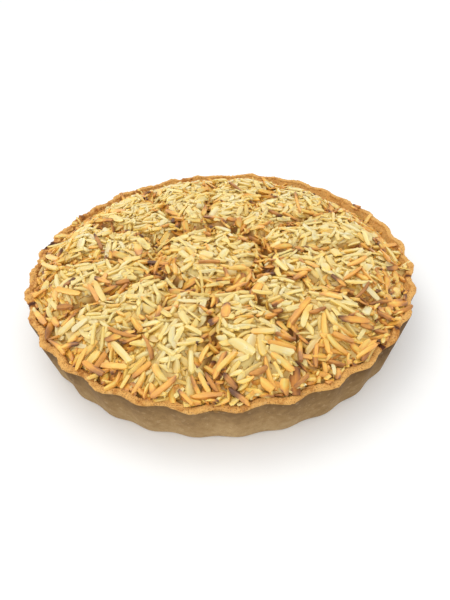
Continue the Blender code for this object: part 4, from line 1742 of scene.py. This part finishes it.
@dataclass
class AlmondHeap:
    """The slivers, laid one by one so that each rests on what lies under it."""

    form: HeapForm = HeapForm()
    filling: Filling = field(default_factory=Filling)
    lump: AppleLump = field(default_factory=AppleLump)
    headroom: Headroom = Headroom()
    oven: Oven = Oven()
    carver: Carver = Carver()
    view: Viewpoint = Viewpoint()
    layers: tuple[Layer, ...] = (
        Layer(1000, 1.0 * MM, math.radians(6.0), -0.05, 1.9 * MM, 0.9, 4, 1.0),
        Layer(2000, 1.1 * MM, math.radians(9.0), -0.03, 1.8 * MM, 0.9, 5, 0.95),
        Layer(2700, 1.0 * MM, math.radians(11.0), 0.00, 1.6 * MM, 0.9, 6, 0.90),
        Layer(1700, 0.9 * MM, math.radians(11.0), 0.00, 1.7 * MM, 0.9, 3, 1.0),
        Layer(600, 0.8 * MM, math.radians(14.0), 0.14, 1.6 * MM, 0.9, 6, 0.55, 8.0 * MM),
        Layer(170, 0.9 * MM, math.radians(11.0), 0.26, 1.6 * MM, 0.7, 1, 1.0),
    )
    seed: int = 1618
    cell: float = 0.8 * MM
    margin: float = 6.0 * MM
    off_tart: float = -1.0
    least_pile: float = 2.6 * MM
    hollow_line: Pair = (0.28, 0.70)
    crease_drop: float = 2.0 * MM
    slope_reach: float = 1.4 * MM
    front_reach: float = 4.0 * MM
    lump_share: float = 0.55
    size_limits: Pair = (0.55, 1.6)
    least_thickness: float = 0.6
    bow_spread: float = 0.3
    sweep: Lumps = Lumps(TURN, 24.0, 70.0)
    sweep_spread: float = 0.30
    swept: float = 0.42
    downhill: float = 0.30
    downhill_spread: float = 0.45
    slope_step: float = 2.0 * MM
    turns_tried: int = 5
    tries_each: int = 12
    sample_reach: float = 0.46
    samples: int = 11
    side_reach: float = 0.3
    end_reach: float = 0.4
    max_pitch: float = math.radians(38.0)
    pitch_share: float = 0.35
    max_roll: float = math.radians(40.0)
    roll_share: float = 0.8
    matted_lift: float = 0.35 * MM
    inside_outline: float = 1.0 * MM
    rim_overlap: float = 0.06
    drowned_rise: float = 2.0 * MM
    drowned_share: float = 0.15
    noted_levels: int = 4
    noted_over: float = 0.8
    noted_settle: float = 0.6 * MM
    noted_highest: float = 45.0 * MM
    noted_side: float = 2.0 * MM
    evening: float = 2.6 * MM
    fine_evening: float = 1.1 * MM
    dip: float = 0.5 * MM
    middle_start: float = 12.0 * MM
    # Depths over which the warm painted shade fades in.
    deep_shade_line: Pair = (-1.0 * MM, 1.4 * MM)
    deep_pale: float = 0.05
    deep_unit: float = 2.0 * MM
    deep_limits: Pair = (-1.5, 1.0)
    sharp: float = math.radians(60.0)
    tone_spread: float = 0.13
    tone_most: float = 0.6

    def start(self) -> None:
        """Make the maps that the slivers are laid by: ground, ceiling, mean form, heat and sweep."""
        self.rng = np.random.default_rng(self.seed)
        self.shares = np.linspace(-self.sample_reach, self.sample_reach, self.samples)
        self.grid = HeightGrid(self.form.case.rim_radius + self.margin, self.cell)
        x, y, survey = self.grid.x, self.grid.y, Survey(self.form, self.grid)
        self.grid.z = self.ground(survey)
        self.outside = survey.outside
        self.limit = survey.bottom_edge + self.slope_reach + self.front_reach * survey.front
        on_rim = survey.r > survey.bottom_edge + self.slope_reach
        self.ceiling = np.where(on_rim, self.headroom.highest, self.headroom.inside(survey))
        hollow = soft_step(survey.crease, *self.hollow_line)
        mean = self.form.height(x, y) + self.filling.brim_lift * self.filling.brim(x, y)
        self.mean = np.minimum(mean - self.crease_drop * hollow, self.ceiling - self.least_pile)
        self.sweeps = self.sweep.at(x, y)
        self.heat = self.oven.heat(survey, hollow)
        self.pools = self.filling.pool(x, y)
        spot = self.lump.reach * np.exp(1j * self.lump.direction)
        self.bare = np.hypot(x - spot.real, y - spot.imag) < self.lump_share * self.lump.size[0]

    def ground(self, survey: Survey) -> Array:
        """Return what the slivers fall on: the filling, the pastry's slope and its rim.

        Args:
            survey: Where the grid's points lie.

        Returns:
            Heights above the base, and less than 0 off the tart.
        """
        slope = (survey.r - survey.bottom_edge) / (survey.top_edge - survey.bottom_edge)
        pastry = survey.shoulder + (survey.rim - survey.shoulder) * np.clip(slope, 0.0, 1.0)
        filling = self.filling.surface(survey.x, survey.y)
        ground = np.where(survey.r < survey.bottom_edge, filling, pastry)
        return np.where(survey.r > survey.outside, self.off_tart, ground)

    def read(self, values: Array, x: float, y: float) -> float:
        """Return the value of a map near a place.

        Args:
            values: The map.
            x: The place's first coordinate.
            y: Its second coordinate.

        Returns:
            The value at the grid's nearest point.
        """
        i = int(round((x + self.grid.reach) / self.cell))
        j = int(round((y + self.grid.reach) / self.cell))
        return float(values[i, j])

    def choose(self, shares: tuple[tuple[Enum, float], ...]) -> Enum:
        """Return one of several options, drawn by its share.

        Args:
            shares: The options, each with its share.

        Returns:
            The option.
        """
        draw = self.rng.random() * sum(share for _, share in shares)
        for option, share in shares:
            draw -= share
            if draw <= 0.0:
                return option
        return shares[-1][0]

    def lowest_spot(self, layer: Layer) -> Pair:
        """Return the place, out of a few drawn at random, where the heap is thinnest or browner.

        Args:
            layer: The strewing.

        Returns:
            The place.
        """
        best, found = math.inf, (0.0, 0.0)
        edge = self.form.case.rim_radius - self.margin
        for _ in range(layer.choices):
            turn = TURN * self.rng.random()
            r = edge * math.sqrt(self.rng.random())
            x, y = r * math.cos(turn), r * math.sin(turn)
            fill = self.read(self.grid.z, x, y) - self.read(self.mean, x, y)
            fill -= layer.creep * self.read(self.heat, x, y)
            if fill < best:
                best, found = fill, (x, y)
        return found

    def draw_yaw(self, x: float, y: float) -> float:
        """Return a direction for a sliver: along its neighbours, down the mound's slope, or any.

        Args:
            x: The place's first coordinate.
            y: Its second coordinate.

        Returns:
            The direction, in radians.
        """
        draw = self.rng.random()
        if draw < self.swept:
            return self.read(self.sweeps, x, y) + self.rng.normal(0.0, self.sweep_spread)
        if draw > self.swept + self.downhill:
            return TURN * self.rng.random()
        step = self.slope_step
        dx = self.read(self.mean, x + step, y) - self.read(self.mean, x - step, y)
        dy = self.read(self.mean, x, y + step) - self.read(self.mean, x, y - step)
        return math.atan2(dy, dx) + self.rng.normal(0.0, self.downhill_spread)

    def draw_sliver(self, layer: Layer) -> Sliver:
        """Return a sliver of random cut, size and place.

        Args:
            layer: The strewing that it belongs to.

        Returns:
            The sliver.
        """
        x, y = self.lowest_spot(layer)
        cut = self.choose(CUT_SHARES)
        shape = CUTS[cut]
        least, most = self.size_limits
        size = []
        for mean, spread in (shape.length, shape.width):
            drawn = max(least * mean, self.rng.normal(mean, spread))
            size.append(layer.size * min(mean + most * spread, drawn))
        thickness = max(self.least_thickness * shape.thickness[0], self.rng.normal(*shape.thickness))
        bow = self.rng.normal(0.0, self.bow_spread) * shape.bow + shape.bow * self.rng.choice((-1.0, 1.0))
        roast = self.choose(self.oven.shares(self.read(self.heat, x, y) + layer.heat))
        place = np.array([x, y, 0.0])
        return Sliver(cut, roast, size[0], size[1], thickness, bow, place, self.draw_yaw(x, y))

    def rest(self, sliver: Sliver, layer: Layer) -> bool:
        """Lower a sliver until it lies on two points of what is under it.

        Args:
            sliver: The sliver, which gets its height and tilt.
            layer: The strewing that it belongs to.

        Returns:
            Whether it can lie there.
        """
        cos, sin = math.cos(sliver.yaw), math.sin(sliver.yaw)
        along = self.shares * sliver.length
        side = sliver.bow * sliver.length * (1.0 - (2.0 * self.shares) ** 2)
        rows = []
        for offset in (-self.side_reach, 0.0, self.side_reach):
            across = side + offset * sliver.width
            x = sliver.place[0] + along * cos - across * sin
            rows.append(self.grid.at(x, sliver.place[1] + along * sin + across * cos))
        under = np.max(rows, axis=0)
        if under.min() < 0.0:
            return False
        left, right = along < 0.0, along > 0.0
        a, b = along[left][:, None], along[right][None, :]
        ha, hb = under[left][:, None], under[right][None, :]
        level = (ha * b - hb * a) / (b - a)
        i, j = np.unravel_index(np.argmax(level), level.shape)
        slope = float((hb[0, j] - ha[i, 0]) / (b[0, j] - a[i, 0]))
        height = max(float(level[i, j]), float(under[len(under) // 2]))
        gap = float(np.mean(height + slope * along - under))
        share = layer.matting * ROASTS[sliver.roast].matting
        slope += share * (float(np.dot(along, under) / np.dot(along, along)) - slope)
        height += share * (float(np.mean(under)) + self.matted_lift - height)
        if abs(slope) > math.tan(self.max_pitch) or gap > layer.gap:
            return False
        lean = float(np.mean(rows[2]) - np.mean(rows[0])) / (2.0 * self.side_reach * sliver.width)
        roll = self.roll_share * math.atan(lean) + self.rng.normal(0.0, layer.tilt)
        sliver.roll = float(np.clip(roll, -self.max_roll, self.max_roll))
        sliver.pitch = math.atan(slope) + self.rng.normal(0.0, self.pitch_share * layer.tilt)
        upright = sliver.thickness * abs(math.cos(sliver.roll))
        half = 0.5 * (upright + 0.5 * sliver.width * abs(math.sin(sliver.roll)))
        sliver.place[2] = height + half - layer.settle
        for end in (-self.end_reach * sliver.length, self.end_reach * sliver.length):
            x, y = sliver.place[0] + end * cos, sliver.place[1] + end * sin
            if sliver.place[2] + end * math.sin(sliver.pitch) + half > self.read(self.ceiling, x, y):
                return False
        return True

    def allowed(self, sliver: Sliver) -> bool:
        """Return whether a sliver may lie where it does, with few over the rim and few in the pools.

        Args:
            sliver: The sliver.

        Returns:
            Whether it may lie there.
        """
        over = False
        for end in (-0.5 * sliver.length, 0.0, 0.5 * sliver.length):
            x = sliver.place[0] + end * math.cos(sliver.yaw)
            y = sliver.place[1] + end * math.sin(sliver.yaw)
            r = math.hypot(x, y)
            if r > self.read(self.outside, x, y) - self.inside_outline or self.read(self.bare, x, y):
                return False
            over = over or r > self.read(self.limit, x, y)
        if over and self.rng.random() > self.rim_overlap:
            return False
        drowned = self.read(self.pools, sliver.place[0], sliver.place[1]) > self.drowned_rise
        return not drowned or self.rng.random() < self.drowned_share

    def lay(self, sliver: Sliver, layer: Layer) -> bool:
        """Lay a sliver where it is, turning it a few times if it can't lie there.

        Args:
            sliver: The sliver.
            layer: The strewing that it belongs to.

        Returns:
            Whether it lies.
        """
        for _ in range(self.turns_tried):
            if self.allowed(sliver) and self.rest(sliver, layer):
                self.grid.cover(sliver)
                return True
            sliver.yaw = TURN * self.rng.random()
        return False

    def lay_noted(self) -> list[Sliver]:
        """Lay the slivers that stand out in the photograph on top of the others.

        Returns:
            The slivers.
        """
        laid, top = [], self.grid.smoothed(self.evening)
        for note in NOTED:
            level = self.form.crease_level + self.form.petal_height
            for _ in range(self.noted_levels):
                start, end = self.view.spot(note.start, level), self.view.spot(note.end, level)
                middle = 0.5 * (start + end)
                level = float(top.at(np.array([middle.x]), np.array([middle.y]))[0])
            shape = CUTS[note.cut]
            yaw = math.atan2(end.y - start.y, end.x - start.x)
            bow = shape.bow * self.rng.choice((-1.0, 1.0))
            place = np.array([middle.x, middle.y, 0.0])
            length, width, thickness = (end - start).length, note.width * MM, shape.thickness[0]
            sliver = Sliver(note.cut, note.roast, length, width, thickness, bow, place, yaw, note.burn)
            self.nestle(sliver, top)
            self.grid.cover(sliver)
            laid.append(sliver)
        return laid

    def nestle(self, sliver: Sliver, top: HeightGrid) -> None:
        """Lay a sliver along the smoothed top, over most of what is under it.

        Args:
            sliver: The sliver, which gets its height and tilt.
            top: The smoothed top.
        """
        cos, sin = math.cos(sliver.yaw), math.sin(sliver.yaw)
        along = self.shares * sliver.length
        x, y = sliver.place[0] + along * cos, sliver.place[1] + along * sin
        slope = float(np.dot(along, top.at(x, y)) / np.dot(along, along))
        level = float(np.quantile(self.grid.at(x, y) - slope * along, self.noted_over))
        dx, dy = -self.noted_side * sin, self.noted_side * cos
        lean = float(np.mean(top.at(x + dx, y + dy) - top.at(x - dx, y - dy))) / (2.0 * self.noted_side)
        sliver.pitch, sliver.roll = math.atan(slope), math.atan(lean)
        half = 0.5 * sliver.thickness
        highest = self.noted_highest - half - 0.5 * sliver.length * abs(math.sin(sliver.pitch))
        sliver.place[2] = min(level + half - self.noted_settle, highest)

    def strew(self) -> HeightGrid:
        """Lay all the layers and the noted slivers.

        Returns:
            The smoothed top of the heap.
        """
        self.start()
        laid = []
        for layer in self.layers:
            done, tries = 0, 0
            while done < layer.count and tries < self.tries_each * layer.count:
                tries += 1
                sliver = self.draw_sliver(layer)
                if self.lay(sliver, layer):
                    laid.append(sliver)
                    done += 1
            LOG.info("layer of %d slivers after %d tries", done, tries)
        self.laid = laid + self.lay_noted()
        inside = self.form.to_wall(self.grid.x, self.grid.y) > self.middle_start
        rise = (self.grid.z - self.mean)[inside]
        LOG.info("heap stands %.2f mm over its mean form, spread %.2f mm", rise.mean() / MM, rise.std() / MM)
        self.top = self.grid.smoothed(self.evening)
        self.top.z = np.minimum(self.top.z, self.grid.smoothed(self.fine_evening).z + self.dip)
        return self.top

    def skin(self, sliver: Sliver) -> tuple[Array, Array, Array, Array]:
        """Return the points of one sliver with what its material reads.

        Args:
            sliver: The sliver.

        Returns:
            The points, their toast values, their places in the sliver's own grain, and how much painted shade
            their depth gives them.
        """
        local, along, flank = self.carver.carve(sliver, self.rng)
        toast = self.carver.toast(sliver, along, flank, self.rng)
        turn = Matrix.Rotation(sliver.yaw, 3, "Z") @ Matrix.Rotation(-sliver.pitch, 3, "Y")
        turn = turn @ Matrix.Rotation(sliver.roll, 3, "X")
        points = local @ np.array(turn).T + sliver.place
        depth = self.top.at(points[:, 0], points[:, 1]) - points[:, 2]
        toast = toast - self.deep_pale * np.clip(depth / self.deep_unit, *self.deep_limits)
        grain = local + self.rng.uniform(0.0, 1.0, 3)
        return points, toast, grain, soft_step(depth, *self.deep_shade_line)

    def build(self) -> list[Piece]:
        """Build one piece for each roast and cut.

        Returns:
            The finished pieces.
        """
        pieces = []
        for roast in Roast:
            material = ROASTS[roast].finish.material()
            for cut in Cut:
                members = [one for one in self.laid if one.roast is roast and one.cut is cut]
                if members:
                    piece = self.join(f"{roast.value}_{cut.value}", members)
                    piece.data.materials.append(material)
                    pieces.append(piece)
        return pieces

    def join(self, name: str, members: list[Sliver]) -> Piece:
        """Join slivers of a kind into one mesh.

        Args:
            name: The piece's name.
            members: The slivers.

        Returns:
            The new object.
        """
        skins = [self.skin(sliver) for sliver in members]
        count, pattern, faces = len(skins[0][0]), self.carver.faces(), []
        for order in range(len(skins)):
            faces += [tuple(corner + order * count for corner in face) for face in pattern]
        piece = make_mesh(name, np.vstack([skin[0] for skin in skins]), faces)
        piece.data.set_sharp_from_angle(angle=self.sharp)
        set_value(piece, "toast", np.concatenate([skin[1] for skin in skins]))
        set_vector(piece, "grain", np.vstack([skin[2] for skin in skins]))
        set_value(piece, "deep", np.concatenate([skin[3] for skin in skins]))
        tones = np.repeat(np.abs(self.rng.normal(0.0, self.tone_spread, len(skins))), count)
        set_value(piece, "tone", np.clip(tones, 0.0, self.tone_most))
        return piece


# ---------------------------------------------------------------- studio


@dataclass
class Studio:
    """The pale floor, the soft light and the camera at the photograph's place."""

    view: Viewpoint = Viewpoint()
    floor_size: float = 6.0
    view_transform: str = "Standard"
    sky: float = 1.15
    key_power: float = 2.6
    key_place: Triple = (-0.35, 0.45, 1.05)
    key_size: float = 0.6
    key_colour: Triple = (1.0, 0.98, 0.94)
    fill_power: float = 1.2
    fill_place: Triple = (-0.95, -0.35, 0.8)
    fill_size: float = 0.8
    fill_colour: Triple = (1.0, 0.99, 0.97)
    nearest: float = 0.01
    finish: FloorFinish = FloorFinish()

    def floor(self) -> None:
        """Lay the floor that the tart stands on."""
        half = 0.5 * self.floor_size
        corners = np.array([[-half, -half, 0.0], [half, -half, 0.0], [half, half, 0.0], [-half, half, 0.0]])
        piece = make_mesh("studio_floor", corners, [(0, 1, 2, 3)], smooth=False)
        piece.data.materials.append(self.finish.material())

    def lamp(self, name: str, power: float, place: Triple, size: float, colour: Triple) -> None:
        """Hang a square soft light that looks at the tart.

        Args:
            name: Its name.
            power: Its power in watts.
            place: Where it hangs.
            size: The length of its side.
            colour: Its colour.
        """
        light = bpy.data.lights.new(name, "AREA")
        light.energy = power
        light.size = size
        light.color = colour
        lamp = bpy.data.objects.new(name, light)
        lamp.location = place
        lamp.rotation_euler = (-Vector(place)).to_track_quat("-Z", "Y").to_euler()
        bpy.context.scene.collection.objects.link(lamp)

    def world(self) -> None:
        """Fill the room with an even pale light."""
        world = bpy.data.worlds.new("soft_room")
        world.use_nodes = True
        background = world.node_tree.nodes["Background"]
        background.inputs["Color"].default_value = (1.0, 1.0, 1.0, 1.0)
        background.inputs["Strength"].default_value = self.sky
        bpy.context.scene.world = world

    def camera(self) -> None:
        """Put the camera where the photograph was taken from."""
        across, above, ahead = self.view.axes()
        data = bpy.data.cameras.new("camera")
        data.lens = self.view.lens
        data.sensor_width = self.view.sensor
        data.clip_start = self.nearest
        camera = bpy.data.objects.new("camera", data)
        turn = Matrix((across, above, -ahead)).transposed().to_4x4()
        camera.matrix_world = Matrix.Translation(self.view.eye()) @ turn
        bpy.context.scene.collection.objects.link(camera)
        bpy.context.scene.camera = camera

    def build(self) -> None:
        """Set up the camera, the floor and the lights."""
        bpy.context.scene.view_settings.view_transform = self.view_transform
        self.camera()
        self.floor()
        self.world()
        self.lamp("key_light", self.key_power, self.key_place, self.key_size, self.key_colour)
        self.lamp("fill_light", self.fill_power, self.fill_place, self.fill_size, self.fill_colour)


# ---------------------------------------------------------------- the tart


def dress(piece: Piece, node: str) -> None:
    """Fix a piece to the tart in the place of a plain solid.

    Args:
        piece: The piece.
        node: The solid that it stands for.
    """
    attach(piece, BODY)
    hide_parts(node)
    LOG.info("%s: %d points", piece.name, len(piece.data.vertices))


def main() -> None:
    """Load the solids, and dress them."""
    logging.basicConfig(level=logging.INFO, format="%(name)s: %(message)s")
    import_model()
    Studio().build()
    dress(PastryCase().build(), CASE_NODE)
    filling = Filling()
    heap = AlmondHeap(filling=filling)
    dress(filling.build(heap.strew()), HEAP_NODE)
    dress(AppleLump().build(), HEAP_NODE)
    for piece in heap.build():
        dress(piece, HEAP_NODE)
    bpy.context.view_layer.update()


if __name__ == "__main__":
    main()
